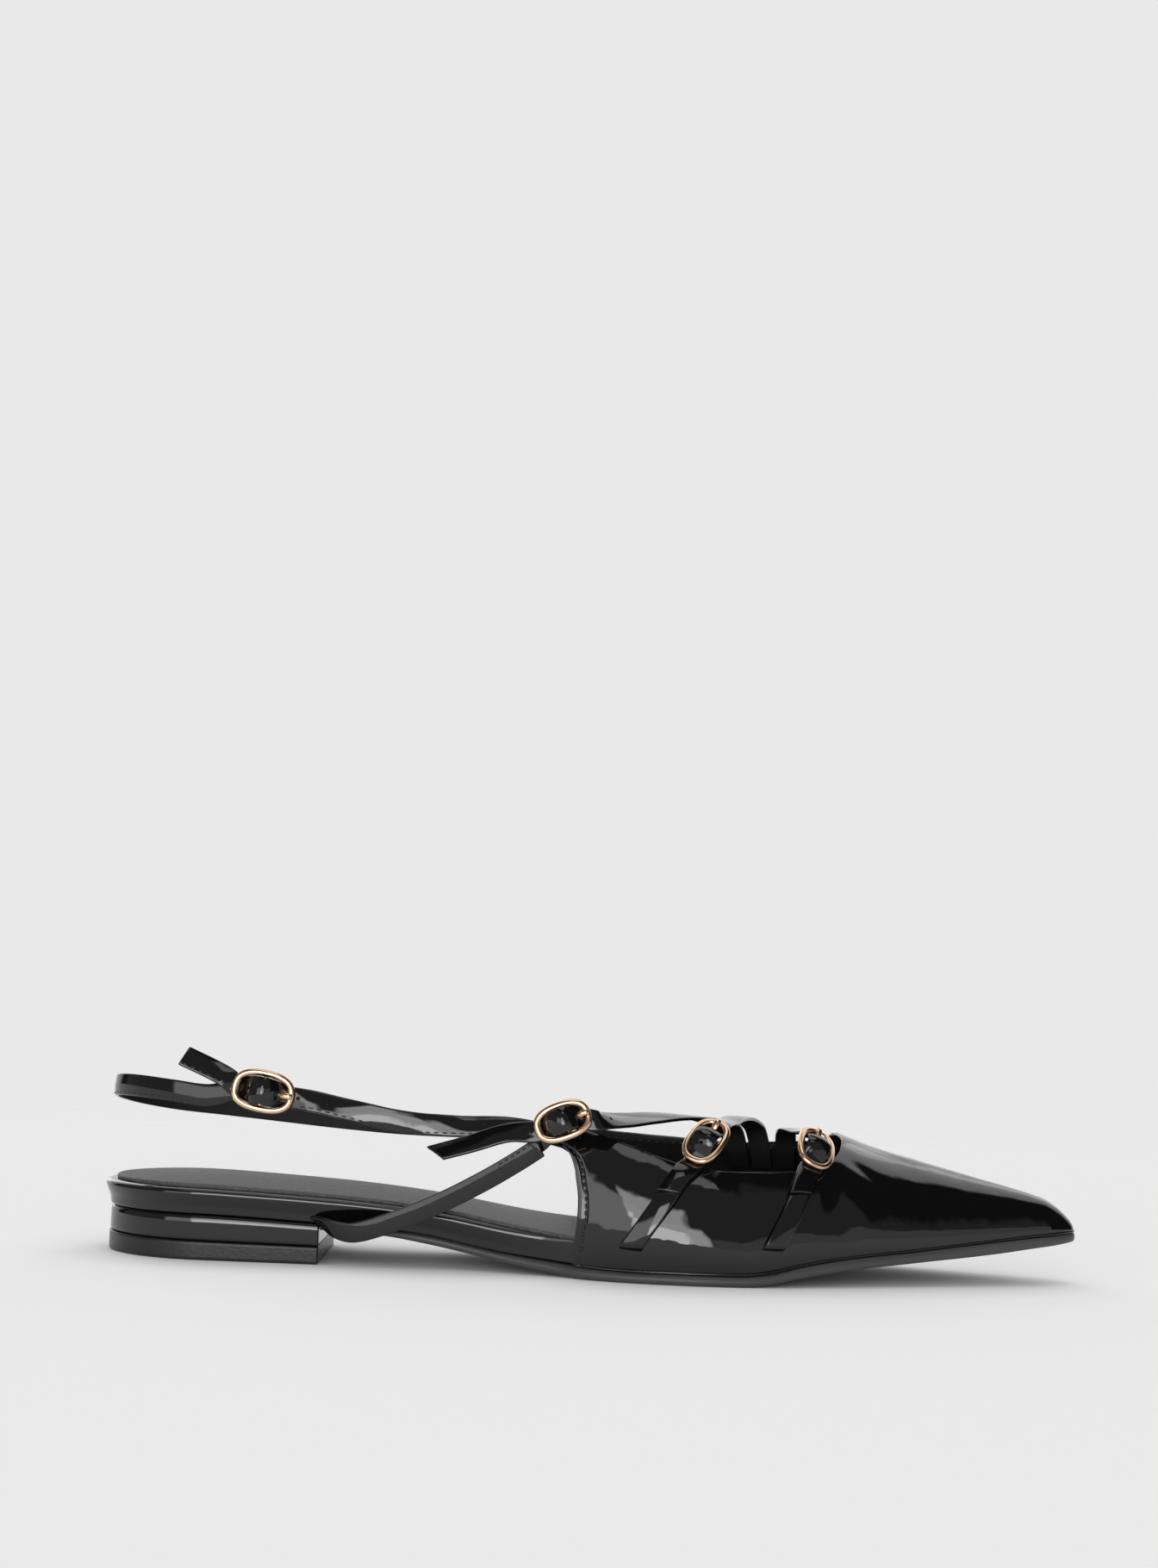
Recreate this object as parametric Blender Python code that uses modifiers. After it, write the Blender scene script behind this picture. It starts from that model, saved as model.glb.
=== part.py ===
# Pointed-toe slingback flat, right shoe, standing empty on its sole
# Stations run along the foot in millimetres from the heel back to the toe tip
# The lateral side is at negative y, the medial side at positive y
import bisect
import math

import bmesh
import bpy
from mathutils import Vector

for stale in list(bpy.data.objects):
    bpy.data.objects.remove(stale, do_unlink=True)

MM = 0.001

# Main sizes in millimetres
LAST_LENGTH = 272.0
BOX_MIDDLE_S = 135.3
BOX_MIDDLE_Y = -0.5
GROUND_Z = 0.5
SEAM_GAP = 0.3
TOE_LIFT = 0.25
TOE_LIFT_S = 245.0
TOE_LIFT_RUN = 25.0
UPPER_WALL = 1.5
WALL_BULGE = 1.3
WIDEST_HALF = 39.0
BULGE_PEAK = 9.5
HEEL_ROUND = 27.0
TOE_ROUND = 8.0
TOE_CAP_ROUND = 9.5
BREAST_S = 61.0
TOP_PIECE_BACK_Z = 6.1
TOP_PIECE_FRONT_Z = 5.5
SOCK_THICK = 1.1
SOCK_INSET = 2.2
STRAP_WIDE = 6.0
STRAP_SLIM = 5.5
THROUGH_WIDE = 5.4
TAB_WIDE = 4.4
STRAP_THICK = 1.1
STRAP_EDGE = 0.25
BUCKLE_LONG = 17.0
BUCKLE_WIDE = 11.4
BUCKLE_WIRE = 0.85
BUCKLE_BOW = 0.45
BAR_RADIUS = 0.55
BAR_DROP = 0.25
PRONG_RADIUS = 0.5
METAL_GAP = 0.25
PRONG_HOLE = 0.95
RISE_SHARE = 0.86
RECESS_Z = 12.8
RECESS_WIDE = 6.0
RECESS_DEEP = 3.9


class Table:
    """Rows with named columns, read between the rows by a curve that never overshoots."""

    def __init__(self, names, rows):
        self.keys = [float(row[0]) for row in rows]
        self.columns = {}
        self.slopes = {}
        for place, name in enumerate(names):
            values = [float(row[place]) for row in rows]
            self.columns[name] = values
            self.slopes[name] = self.tangents(values)

    def tangents(self, values):
        keys = self.keys
        last = len(keys) - 1
        secants = []
        for i in range(last):
            secants.append((values[i + 1] - values[i]) / (keys[i + 1] - keys[i]))
        slopes = [secants[0]]
        for i in range(1, last):
            before, after = secants[i - 1], secants[i]
            if before * after <= 0.0:
                slopes.append(0.0)
            else:
                slopes.append(2.0 * before * after / (before + after))
        slopes.append(secants[-1])
        return slopes

    def at(self, key, name):
        keys = self.keys
        key = min(max(key, keys[0]), keys[-1])
        i = min(max(bisect.bisect_right(keys, key) - 1, 0), len(keys) - 2)
        span = keys[i + 1] - keys[i]
        t = (key - keys[i]) / span
        a, b = self.columns[name][i], self.columns[name][i + 1]
        m, n = self.slopes[name][i] * span, self.slopes[name][i + 1] * span
        cubic = (2 * t**3 - 3 * t**2 + 1) * a + (t**3 - 2 * t**2 + t) * m
        return cubic + (3 * t**2 - 2 * t**3) * b + (t**3 - t**2) * n


# Feather line of the last seen from above: a row per station
PLAN = Table(
    ("s", "lateral", "medial"),
    (
        (0, -25.3, 25.3),
        (30, -26.2, 26.0),
        (60, -25.8, 24.6),
        (95, -26.3, 21.6),
        (115, -29.5, 23.6),
        (132, -34.0, 29.0),
        (150, -38.0, 35.0),
        (165, -39.0, 38.3),
        (180, -37.3, 39.4),
        (195, -32.8, 37.4),
        (215, -24.6, 31.2),
        (235, -15.7, 24.0),
        (252, -8.2, 17.3),
        (264, -3.2, 12.8),
        (272, 0.2, 9.8),
    ),
)

# Sole in side view: seat under the foot, underside, and how far the edge stands out
SOLE = Table(
    ("s", "seat", "under", "flare"),
    (
        (0, 13.4, 11.0, -1.0),
        (28, 13.2, 10.8, -1.0),
        (61, 12.0, 9.9, -1.0),
        (79, 11.2, 9.0, -0.8),
        (91, 9.9, 7.3, -0.6),
        (102, 7.9, 5.3, -0.5),
        (113, 6.0, 3.2, -0.4),
        (125, 4.6, 1.5, -0.2),
        (130, 4.1, 1.0, 0.3),
        (135, 3.8, 0.7, 1.7),
        (146, 3.4, GROUND_Z, 2.1),
        (178, 3.4, GROUND_Z, 2.1),
        (186, 4.3, 1.4, 2.1),
        (193, 6.0, 2.9, 2.0),
        (206, 8.2, 5.0, 1.9),
        (226, 10.2, 7.1, 1.7),
        (247, 12.5, 9.2, 1.4),
        (261, 13.9, 11.0, 1.0),
        (272, 14.8, 12.4, 0.4),
    ),
)

# Footbed: top under the sock, how far it stays inside the last, and how much its edge rolls out
FOOTBED = Table(
    ("s", "top", "inset", "roll"),
    (
        (0, 20.4, -0.1, 1.0),
        (25, 20.3, -0.1, 1.0),
        (44, 19.7, -0.1, 1.0),
        (68, 18.6, -0.1, 1.0),
        (85, 17.3, 0.0, 1.0),
        (97, 15.8, 0.1, 0.9),
        (106, 14.2, 0.4, 0.8),
        (116, 12.5, 1.3, 0.5),
        (124, 11.3, 2.4, 0.15),
        (132, 10.4, 2.9, 0.0),
        (145, 9.1, 2.9, 0.0),
        (165, 8.0, 2.9, 0.0),
        (182, 7.9, 2.9, 0.0),
        (192, 9.5, 2.9, 0.0),
        (206, 11.5, 2.9, 0.0),
        (226, 13.2, 2.9, 0.0),
        (247, 15.2, 2.9, 0.0),
        (262, 16.4, 2.9, 0.0),
        (272, 17.0, 2.9, 0.0),
    ),
)

# Top of the last: ridge height, how far it leans to the medial side, squareness of the section
RIDGE = Table(
    ("s", "height", "lean", "square"),
    (
        (112, 68.0, 8.0, 3.3),
        (132, 58.0, 7.5, 3.0),
        (145, 51.0, 6.5, 2.8),
        (160, 46.0, 5.5, 2.6),
        (175, 43.6, 4.6, 2.45),
        (190, 42.4, 3.6, 2.35),
        (204, 40.5, 2.6, 2.25),
        (214, 36.7, 2.0, 2.15),
        (227, 33.5, 1.5, 2.1),
        (240, 30.1, 1.0, 2.05),
        (254, 26.7, 0.5, 2.0),
        (263, 24.2, 0.2, 2.0),
        (272, 20.8, 0.0, 2.0),
    ),
)

# Collar line and throat of the vamp: side (-1 lateral, 0 ridge, 1 medial), station, height
TOPLINE = (
    (-1, 121.0, 42.6),
    (-1, 128.0, 42.0),
    (-1, 135.5, 40.4),
    (-1, 141.0, 38.8),
    (-1, 148.0, 36.6),
    (-1, 159.0, 33.0),
    (-1, 167.0, 31.4),
    (-1, 178.0, 31.1),
    (-1, 188.0, 31.4),
    (-1, 194.0, 32.2),
    (-1, 199.0, 33.8),
    (-1, 202.6, 35.9),
    (-1, 204.6, 38.3),
    (0, 205.4, 0.0),
    (1, 204.4, 38.9),
    (1, 201.5, 37.2),
    (1, 196.0, 36.0),
    (1, 187.6, 35.3),
    (1, 178.0, 34.6),
    (1, 161.5, 35.2),
    (1, 148.0, 36.0),
    (1, 137.8, 36.9),
    (1, 129.0, 38.2),
    (1, 121.0, 39.4),
)

# Rear edges of the two wings from the feather line up to the tab: way up, station, height
LATERAL_WING = (
    (0.0, 131.6, 0.0),
    (0.18, 131.9, 10.8),
    (0.36, 132.5, 17.8),
    (0.56, 131.9, 26.6),
    (0.70, 130.8, 31.8),
    (0.80, 128.6, 35.6),
    (0.88, 125.2, 37.6),
    (0.94, 121.6, 39.2),
    (1.0, 121.0, 42.6),
)
MEDIAL_WING = (
    (0.0, 132.0, 0.0),
    (0.22, 132.4, 11.0),
    (0.44, 132.2, 18.5),
    (0.62, 131.2, 25.0),
    (0.74, 129.4, 29.6),
    (0.84, 126.2, 32.6),
    (0.93, 121.8, 34.6),
    (1.0, 121.0, 39.4),
)
VAMP_ROUND = 52
VAMP_UP = 9
TOE_CROWD = 0.85
TOPLINE_REAR_S = 121.0
TOPLINE_TURN_S = 198.0
THROAT_S = 205.4
FEATHER_REAR_S = 131.6
FEATHER_TURN_S = 236.0
WING_HOLD = 0.22

# Edge profiles of the flat pieces: way up, how far out
OUTSOLE_EDGE = ((0.0, -0.9), (0.22, -0.15), (0.6, 0.0), (0.88, -0.1), (1.0, -0.5))
FOOTBED_EDGE = ((0.0, 0.0), (0.3, 0.25), (0.55, 0.95), (0.78, 1.5), (0.92, 1.1), (1.0, 0.1))
SOCK_EDGE = ((0.0, -0.15), (0.5, 0.0), (0.85, -0.15), (1.0, -0.5))
BLOCK_EDGE = ((0.0, 0.0), (0.85, -0.2), (1.0, -0.45))
TOP_PIECE_EDGE = ((0.0, -0.35), (0.08, 0.1), (0.95, 0.15), (1.0, -0.1))


def end_round(distance, radius):
    if distance >= radius:
        return 1.0
    return math.sqrt(max(0.0, 1.0 - (1.0 - max(distance, 0.0) / radius) ** 2))


def foot_middle(s):
    return 0.5 * (PLAN.at(s, "lateral") + PLAN.at(s, "medial"))


def half_width(s):
    half = 0.5 * (PLAN.at(s, "medial") - PLAN.at(s, "lateral"))
    return half * end_round(s, HEEL_ROUND) * end_round(LAST_LENGTH - s, TOE_ROUND)


def seat_height(s):
    return SOLE.at(s, "seat")


def feather_height(s):
    lift = min(max((s - TOE_LIFT_S) / TOE_LIFT_RUN, 0.0), 1.0)
    return seat_height(s) + SEAM_GAP + TOE_LIFT * lift * lift * (3.0 - 2.0 * lift)


def skin(s, turn):
    """Point of the last at a station; turn goes from the lateral feather over the ridge."""
    half = half_width(s)
    fade = end_round(LAST_LENGTH - s, TOE_ROUND)
    lean = RIDGE.at(s, "lean") * fade
    ridge_y = foot_middle(s) + lean
    base = feather_height(s)
    rise = (RIDGE.at(s, "height") - base) * end_round(LAST_LENGTH - s, TOE_CAP_ROUND)
    power = 2.0 / RIDGE.at(s, "square")
    out = abs(math.cos(turn)) ** power
    up = max(math.sin(turn), 0.0) ** power
    bulge = WALL_BULGE * (half / WIDEST_HALF) * BULGE_PEAK * up * (1.0 - up) ** 3
    if turn <= math.pi / 2:
        y = ridge_y - (half + lean) * out - bulge
    else:
        y = ridge_y + (half - lean) * out + bulge
    return Vector((s, y, base + rise * up))


def skin_normal(s, turn):
    along = skin(s + 0.4, turn) - skin(s - 0.4, turn)
    across = skin(s, turn + 0.02) - skin(s, turn - 0.02)
    normal = across.cross(along).normalized()
    heart = Vector((s, foot_middle(s), feather_height(s) + 6.0))
    if normal.dot(skin(s, turn) - heart) < 0.0:
        normal.negate()
    return normal


def turn_at(s, z, side):
    base = feather_height(s)
    share = (z - base) / (RIDGE.at(s, "height") - base)
    share = min(max(share, 0.0), 1.0)
    turn = math.asin(share ** (RIDGE.at(s, "square") / 2.0))
    return turn if side < 0 else math.pi - turn


def flat_point(s, turn):
    """Spread-out pattern of the vamp: toe tip at the origin, feather line along the base."""
    reach = math.sqrt(max(LAST_LENGTH - s, 0.0))
    return (reach * math.cos(turn), reach * math.sin(turn))


def from_flat(p, q):
    reach = math.hypot(p, q)
    return LAST_LENGTH - reach * reach, math.atan2(max(q, 0.0), p)


FEATHER_REACH = math.sqrt(LAST_LENGTH - FEATHER_REAR_S)


def feather_share(s):
    """Place along the pattern, 1 at the wing and 0 at the toe tip."""
    return (math.sqrt(max(LAST_LENGTH - s, 0.0)) / FEATHER_REACH) ** (1.0 / TOE_CROWD)


def pattern_place(side, s):
    if side == 0:
        return 0.5
    if s <= TOPLINE_TURN_S:
        part = (s - TOPLINE_REAR_S) / (TOPLINE_TURN_S - TOPLINE_REAR_S)
        base_s = FEATHER_REAR_S + part * (FEATHER_TURN_S - FEATHER_REAR_S)
    else:
        part = (s - TOPLINE_TURN_S) / (THROAT_S - TOPLINE_TURN_S)
        base_s = FEATHER_TURN_S + part * (LAST_LENGTH - FEATHER_TURN_S)
    return 0.5 + 0.5 * side * feather_share(base_s)


def topline_table():
    rows = []
    for side, s, z in TOPLINE:
        turn = math.pi / 2 if side == 0 else turn_at(s, z, side)
        rows.append((pattern_place(side, s),) + flat_point(s, turn))
    return Table(("u", "p", "q"), rows)


def wing_table(rows, side):
    spread = []
    for v, s, z in rows:
        turn = turn_at(s, max(z, feather_height(s)), side)
        spread.append((v,) + flat_point(s, turn))
    return Table(("v", "p", "q"), spread)


TOPLINE_FLAT = topline_table()
LATERAL_FLAT = wing_table(LATERAL_WING, -1)
MEDIAL_FLAT = wing_table(MEDIAL_WING, 1)


def vamp_point(u, v):
    """Vamp pattern, u from the lateral wing round the toe, v from the feather to the collar."""
    away = 1.0 - 2.0 * u
    base_p = math.copysign(FEATHER_REACH * abs(away) ** TOE_CROWD, away)
    p = (1.0 - v) * base_p + v * TOPLINE_FLAT.at(u, "p")
    q = v * TOPLINE_FLAT.at(u, "q")
    for wing, place, side in ((LATERAL_FLAT, u, 1.0), (MEDIAL_FLAT, 1.0 - u, -1.0)):
        hold = max(0.0, 1.0 - place / WING_HOLD) ** 2
        end = 0.0 if side > 0 else 1.0
        rear_p = (1.0 - v) * side * FEATHER_REACH + v * TOPLINE_FLAT.at(end, "p")
        rear_q = v * TOPLINE_FLAT.at(end, "q")
        p += hold * (wing.at(v, "p") - rear_p)
        q += hold * (wing.at(v, "q") - rear_q)
    s, turn = from_flat(p, q)
    return skin(s, turn)


# Scene housekeeping: one collection for the shoe, one for the cutters
SHOE = bpy.data.collections.new("pointed_toe_flat")
CUTTERS = bpy.data.collections.new("cutters")
bpy.context.scene.collection.children.link(SHOE)
bpy.context.scene.collection.children.link(CUTTERS)


def make_material(name, colour, roughness, metallic=0.0):
    material = bpy.data.materials.new(name)
    material.use_nodes = True
    shader = material.node_tree.nodes["Principled BSDF"]
    shader.inputs["Base Color"].default_value = colour + (1.0,)
    shader.inputs["Roughness"].default_value = roughness
    shader.inputs["Metallic"].default_value = metallic
    return material


def place(point):
    return Vector(((point[0] - BOX_MIDDLE_S) * MM, (point[1] - BOX_MIDDLE_Y) * MM,
                   (point[2] - GROUND_Z) * MM))


def add_object(name, mesh, material=None):
    thing = bpy.data.objects.new(name, mesh)
    if material is None:
        CUTTERS.objects.link(thing)
        thing.hide_render = True
        thing.display_type = "WIRE"
    else:
        SHOE.objects.link(thing)
        mesh.materials.append(material)
    return thing


def finish_mesh(bm, name):
    bmesh.ops.remove_doubles(bm, verts=bm.verts, dist=0.00001)
    bmesh.ops.recalc_face_normals(bm, faces=bm.faces)
    mesh = bpy.data.meshes.new(name)
    bm.to_mesh(mesh)
    bm.free()
    return mesh


def foot_stations(first, last, step):
    """Stations that crowd together towards the round heel and the toe tip."""
    stations = []
    heel_steps = 8
    toe_steps = 6
    for i in range(heel_steps):
        stations.append(HEEL_ROUND * (1.0 - math.cos(math.pi / 2 * i / heel_steps)))
    count = int(round((LAST_LENGTH - TOE_ROUND - HEEL_ROUND) / step))
    for i in range(count):
        stations.append(HEEL_ROUND + (LAST_LENGTH - TOE_ROUND - HEEL_ROUND) * i / count)
    for i in range(toe_steps + 1):
        stations.append(LAST_LENGTH - TOE_ROUND * (1.0 - math.sin(math.pi / 2 * i / toe_steps)))
    kept = [s for s in stations if first + 0.3 < s < last - 0.8]
    return [first] + kept + [last]


def edge_loop(stations, out):
    """Closed outline: lateral side forward, medial side back, pushed out square to itself."""
    sides = []
    for s in stations:
        sides.append((s, foot_middle(s) - half_width(s)))
    for s in reversed(stations):
        sides.append((s, foot_middle(s) + half_width(s)))
    joined = []
    for point in sides:
        if not joined or math.dist(point, joined[-1]) > 0.001:
            joined.append(point)
    if math.dist(joined[0], joined[-1]) < 0.001:
        joined.pop()
    loop = []
    for i, (s, y) in enumerate(joined):
        before = joined[i - 1]
        after = joined[(i + 1) % len(joined)]
        blunt = BREAST_S - 0.1 < s < BREAST_S + 0.8
        if blunt:
            loop.append((s, y + math.copysign(1.0, y) * out(s), s))
            continue
        run = math.hypot(after[0] - before[0], after[1] - before[1])
        nx = (after[1] - before[1]) / run
        ny = -(after[0] - before[0]) / run
        loop.append((s + nx * out(s), y + ny * out(s), s))
    return loop


def slab(name, stations, profile, out, low, high, material):
    """Flat piece of the sole: an outline lofted up an edge profile and closed by cross strips."""
    bm = bmesh.new()
    rings = []
    for share, push in profile:
        ring = []
        for x, y, s in edge_loop(stations, lambda station: out(station, push)):
            z = low(s) + (high(s) - low(s)) * share
            ring.append(bm.verts.new(place((x, y, z))))
        rings.append(ring)
    count = len(rings[0])
    for lower, upper in zip(rings, rings[1:]):
        for i in range(count):
            j = (i + 1) % count
            bm.faces.new((lower[i], lower[j], upper[j], upper[i]))
    for ring in (rings[0], rings[-1]):
        shift = 1 if half_width(stations[0]) < 0.001 else 0
        for i in range(count // 2):
            a, b = i, i + 1
            c, d = (count - 1 - i + shift) % count, (count - 2 - i + shift) % count
            corners = []
            for k in (a, b, d, c):
                if k not in corners:
                    corners.append(k)
            if len(corners) > 2 and b <= d + count * (d == 0):
                bm.faces.new([ring[k] for k in corners])
    return add_object(name, finish_mesh(bm, name), material)


PATENT = make_material("black_patent", (0.012, 0.012, 0.013), 0.12)
STRAP_PATENT = make_material("strap_patent", (0.012, 0.012, 0.013), 0.14)
SOLE_RUBBER = make_material("sole_rubber", (0.02, 0.02, 0.021), 0.45)
HEEL_RUBBER = make_material("heel_rubber", (0.024, 0.024, 0.025), 0.5)
BLOCK_PATENT = make_material("block_patent", (0.013, 0.013, 0.014), 0.18)
SOCK_LINING = make_material("sock_lining", (0.06, 0.06, 0.062), 0.65)
GOLD = make_material("pale_gold", (0.80, 0.58, 0.40), 0.22, 1.0)


def heel_line(s):
    return TOP_PIECE_BACK_Z + (TOP_PIECE_FRONT_Z - TOP_PIECE_BACK_Z) * s / BREAST_S


# Sole, heel, footbed and sock
HEEL_STATIONS = foot_stations(0.0, BREAST_S, 12.0)
FULL_STATIONS = foot_stations(0.0, LAST_LENGTH, 8.0)
SOLE_STATIONS = foot_stations(BREAST_S + 0.4, LAST_LENGTH, 8.0)

slab(
    "heel_top_piece",
    HEEL_STATIONS,
    TOP_PIECE_EDGE,
    lambda s, push: push,
    lambda s: GROUND_Z,
    lambda s: heel_line(s) - SEAM_GAP / 2,
    HEEL_RUBBER,
)
heel_block = slab(
    "heel_block",
    HEEL_STATIONS,
    BLOCK_EDGE,
    lambda s, push: push,
    lambda s: heel_line(s) + SEAM_GAP / 2,
    lambda s: seat_height(s) - SEAM_GAP / 2,
    BLOCK_PATENT,
)
outsole = slab(
    "outsole",
    SOLE_STATIONS,
    OUTSOLE_EDGE,
    lambda s, push: SOLE.at(s, "flare") + push,
    lambda s: SOLE.at(s, "under"),
    lambda s: seat_height(s) - SEAM_GAP / 2,
    SOLE_RUBBER,
)
footbed = slab(
    "footbed",
    FULL_STATIONS,
    FOOTBED_EDGE,
    lambda s, push: FOOTBED.at(s, "roll") * push - FOOTBED.at(s, "inset"),
    lambda s: seat_height(s) + SEAM_GAP / 2,
    lambda s: FOOTBED.at(s, "top"),
    PATENT,
)
slab(
    "insole_sock",
    FULL_STATIONS,
    SOCK_EDGE,
    lambda s, push: push - FOOTBED.at(s, "inset") - SOCK_INSET * (0.4 + 0.3 * FOOTBED.at(s, "roll")),
    lambda s: FOOTBED.at(s, "top") + SEAM_GAP,
    lambda s: FOOTBED.at(s, "top") + SEAM_GAP + SOCK_THICK,
    SOCK_LINING,
)


def grid_mesh(name, long_steps, cross_steps, mapping, outward):
    """A grid laid along a mapping of the unit square, turned to face outward."""
    bm = bmesh.new()
    bmesh.ops.create_grid(bm, x_segments=long_steps, y_segments=cross_steps, size=0.5)
    for vert in bm.verts:
        vert.co = place(mapping(vert.co.x + 0.5, vert.co.y + 0.5))
    bm.normal_update()
    bm.faces.ensure_lookup_table()
    middle = bm.faces[len(bm.faces) // 2]
    if middle.normal.dot(outward(middle.calc_center_median())) < 0.0:
        bmesh.ops.reverse_faces(bm, faces=bm.faces)
    mesh = bpy.data.meshes.new(name)
    bm.to_mesh(mesh)
    bm.free()
    return mesh


# Vamp: the last's skin between feather line and collar, given its wall
VAMP_HEART = Vector(((215.0 - BOX_MIDDLE_S) * MM, 0.0, 0.012))
vamp = add_object(
    "vamp",
    grid_mesh("vamp", VAMP_ROUND, VAMP_UP, vamp_point, lambda c: c - VAMP_HEART),
    PATENT,
)
wall = vamp.modifiers.new("wall", "SOLIDIFY")
wall.thickness = UPPER_WALL * MM
wall.offset = -1.0
wall.use_even_offset = True


class Buckle:
    """Oval frame with a centre bar; long axis to the prong end, outward axis off the foot."""

    def __init__(self, centre, long_axis, outward):
        self.centre = Vector(centre)
        self.long = Vector(long_axis).normalized()
        out = Vector(outward)
        self.out = (out - self.long * out.dot(self.long)).normalized()
        self.cross = self.out.cross(self.long)

    def spot(self, a, n, b=0.0):
        return self.centre + self.long * a + self.cross * b + self.out * n


ON_SKIN = SEAM_GAP + 0.25 + STRAP_THICK / 2
INSIDE = -UPPER_WALL - SEAM_GAP - 0.3 - STRAP_THICK / 2
FRAME_A = BUCKLE_LONG / 2 - BUCKLE_WIRE
FRAME_B = BUCKLE_WIDE / 2 - BUCKLE_WIRE
UNDER_FRAME = BUCKLE_WIRE + METAL_GAP + STRAP_THICK / 2
LOOP_RADIUS = BAR_RADIUS + METAL_GAP + STRAP_THICK / 2
OVER_BAR = LOOP_RADIUS + STRAP_THICK + METAL_GAP - BAR_DROP
HOLD_UNDER = UNDER_FRAME + STRAP_THICK + METAL_GAP

# Buckles: centre, long axis towards the prong end, outward direction
BUCKLES = {
    "sling": Buckle((44.7, -28.8, 47.8), (0.98, -0.03, -0.17), (-0.03, -1.0, 0.16)),
    "instep": Buckle((127.7, -39.2, 43.6), (0.92, 0.08, 0.37), (0.0, -1.0, 0.28)),
    "rear_vamp": Buckle((167.2, -29.0, 39.6), (0.46, 0.70, 0.54), (-0.05, -0.66, 0.75)),
    "front_vamp": Buckle((197.4, -20.0, 38.2), (0.02, 0.89, 0.45), (0.2, -0.45, 0.87)),
}


def free_row(s, y, z, turn, lift, width=STRAP_WIDE):
    """Strap point by hand; turn swings its face to the heel, lift swings it up and over."""
    t, u = math.radians(turn), math.radians(lift)
    normal = Vector((-math.sin(t) * math.cos(u), -math.cos(t) * math.cos(u), math.sin(u)))
    return (Vector((s, y, z)), normal, width)


def skin_row(s, z, side, off, width=STRAP_SLIM):
    turn = turn_at(s, z, side)
    normal = skin_normal(s, turn)
    return (skin(s, turn) + normal * off, normal, width)


def buckle_row(buckle, a, n, width=STRAP_WIDE, b=0.0):
    return (buckle.spot(a, n, b), buckle.out.copy(), width)


def through_rows(buckle, swing=0.0):
    """Free strap through a buckle: under the prong end, over the bar, under the far end."""
    rows = []
    for part in (1.0, 0.75, 0.5, 0.25, 0.0, -0.25, -0.5, -0.75, -1.0):
        away = min(abs(part) / RISE_SHARE, 1.0)
        lift = (UNDER_FRAME + OVER_BAR) * math.cos(math.pi / 2 * away) ** 2 - UNDER_FRAME
        aside = swing * max(part - 0.5, 0.0) / 0.5
        rows.append(buckle_row(buckle, part * FRAME_A, lift, THROUGH_WIDE, aside))
    return rows


def loop_rows(buckle, width=TAB_WIDE):
    """End of a holding strap round the bar, coming in below and ending above."""
    rows = []
    for degrees in (-90, -45, 0, 45, 90, 125):
        angle = math.radians(degrees)
        spoke = buckle.long * math.cos(angle) + buckle.out * math.sin(angle)
        rows.append((buckle.spot(0.0, -BAR_DROP) + spoke * LOOP_RADIUS, -spoke, width))
    rows.append((buckle.spot(-2.5, -0.75), -buckle.out, width))
    return rows


def strap_path(rows):
    """Even, smooth samples along the rows, closer together where the strap bends."""
    points = [row[0] for row in rows]
    fine = []
    steps = 24
    for i in range(len(rows) - 1):
        before = points[max(i - 1, 0)]
        after = points[min(i + 2, len(rows) - 1)]
        start, end = points[i], points[i + 1]
        span = (end - start).length
        lead = (end - before) * (span / max((end - start).length + (start - before).length, 1e-6))
        trail = (after - start) * (span / max((after - end).length + span, 1e-6))
        for k in range(steps):
            t = k / steps
            spot = (2 * t**3 - 3 * t**2 + 1) * start + (t**3 - 2 * t**2 + t) * lead
            spot = spot + (3 * t**2 - 2 * t**3) * end + (t**3 - t**2) * trail
            ease = t * t * (3 - 2 * t)
            normal = rows[i][1].lerp(rows[i + 1][1], t)
            fine.append((spot, normal, rows[i][2] + (rows[i + 1][2] - rows[i][2]) * ease))
    fine.append(rows[-1])
    kept = [0]
    walked, bent = 0.0, 0.0
    for i in range(1, len(fine) - 1):
        step = fine[i][0] - fine[i - 1][0]
        onward = fine[i + 1][0] - fine[i][0]
        walked += step.length
        bent += step.angle(onward, 0.0)
        if walked > 5.0 or (bent > 0.3 and walked > 0.5):
            kept.append(i)
            walked, bent = 0.0, 0.0
    if walked < 0.4 and len(kept) > 2:
        kept.pop()
    kept.append(len(fine) - 1)
    samples = []
    for i in kept:
        ahead = fine[min(i + 1, len(fine) - 1)][0] - fine[max(i - 1, 0)][0]
        ahead.normalize()
        face = fine[i][1] - ahead * fine[i][1].dot(ahead)
        face.normalize()
        samples.append((fine[i][0], ahead, face, fine[i][2]))
    return samples


def strap(name, rows, start_slant=0.0, end_slant=0.0, thick=STRAP_THICK, material=STRAP_PATENT):
    """Flat strap along its rows; a slant puts one corner of an end ahead of the other."""
    samples = strap_path(rows)
    last = len(samples) - 1

    def mapping(along, across):
        i = int(round(along * last))
        point, ahead, face, width = samples[i]
        sideways = face.cross(ahead)
        slant = end_slant if i == last else (start_slant if i == 0 else 0.0)
        shear = slant * (across - 0.5)
        return point + sideways * ((across - 0.5) * width) + ahead * shear

    facing = samples[len(samples) // 2]
    mesh = grid_mesh(name, last, 1, mapping, lambda c: facing[2])
    thing = add_object(name, mesh, material)
    body = thing.modifiers.new("body", "SOLIDIFY")
    body.thickness = thick * MM
    body.offset = 0.0
    body.use_even_offset = True
    if material is not None:
        edge = thing.modifiers.new("edge", "BEVEL")
        edge.width = STRAP_EDGE * MM
        edge.segments = 1
        edge.limit_method = "ANGLE"
        edge.angle_limit = math.radians(60)
    return thing


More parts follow.
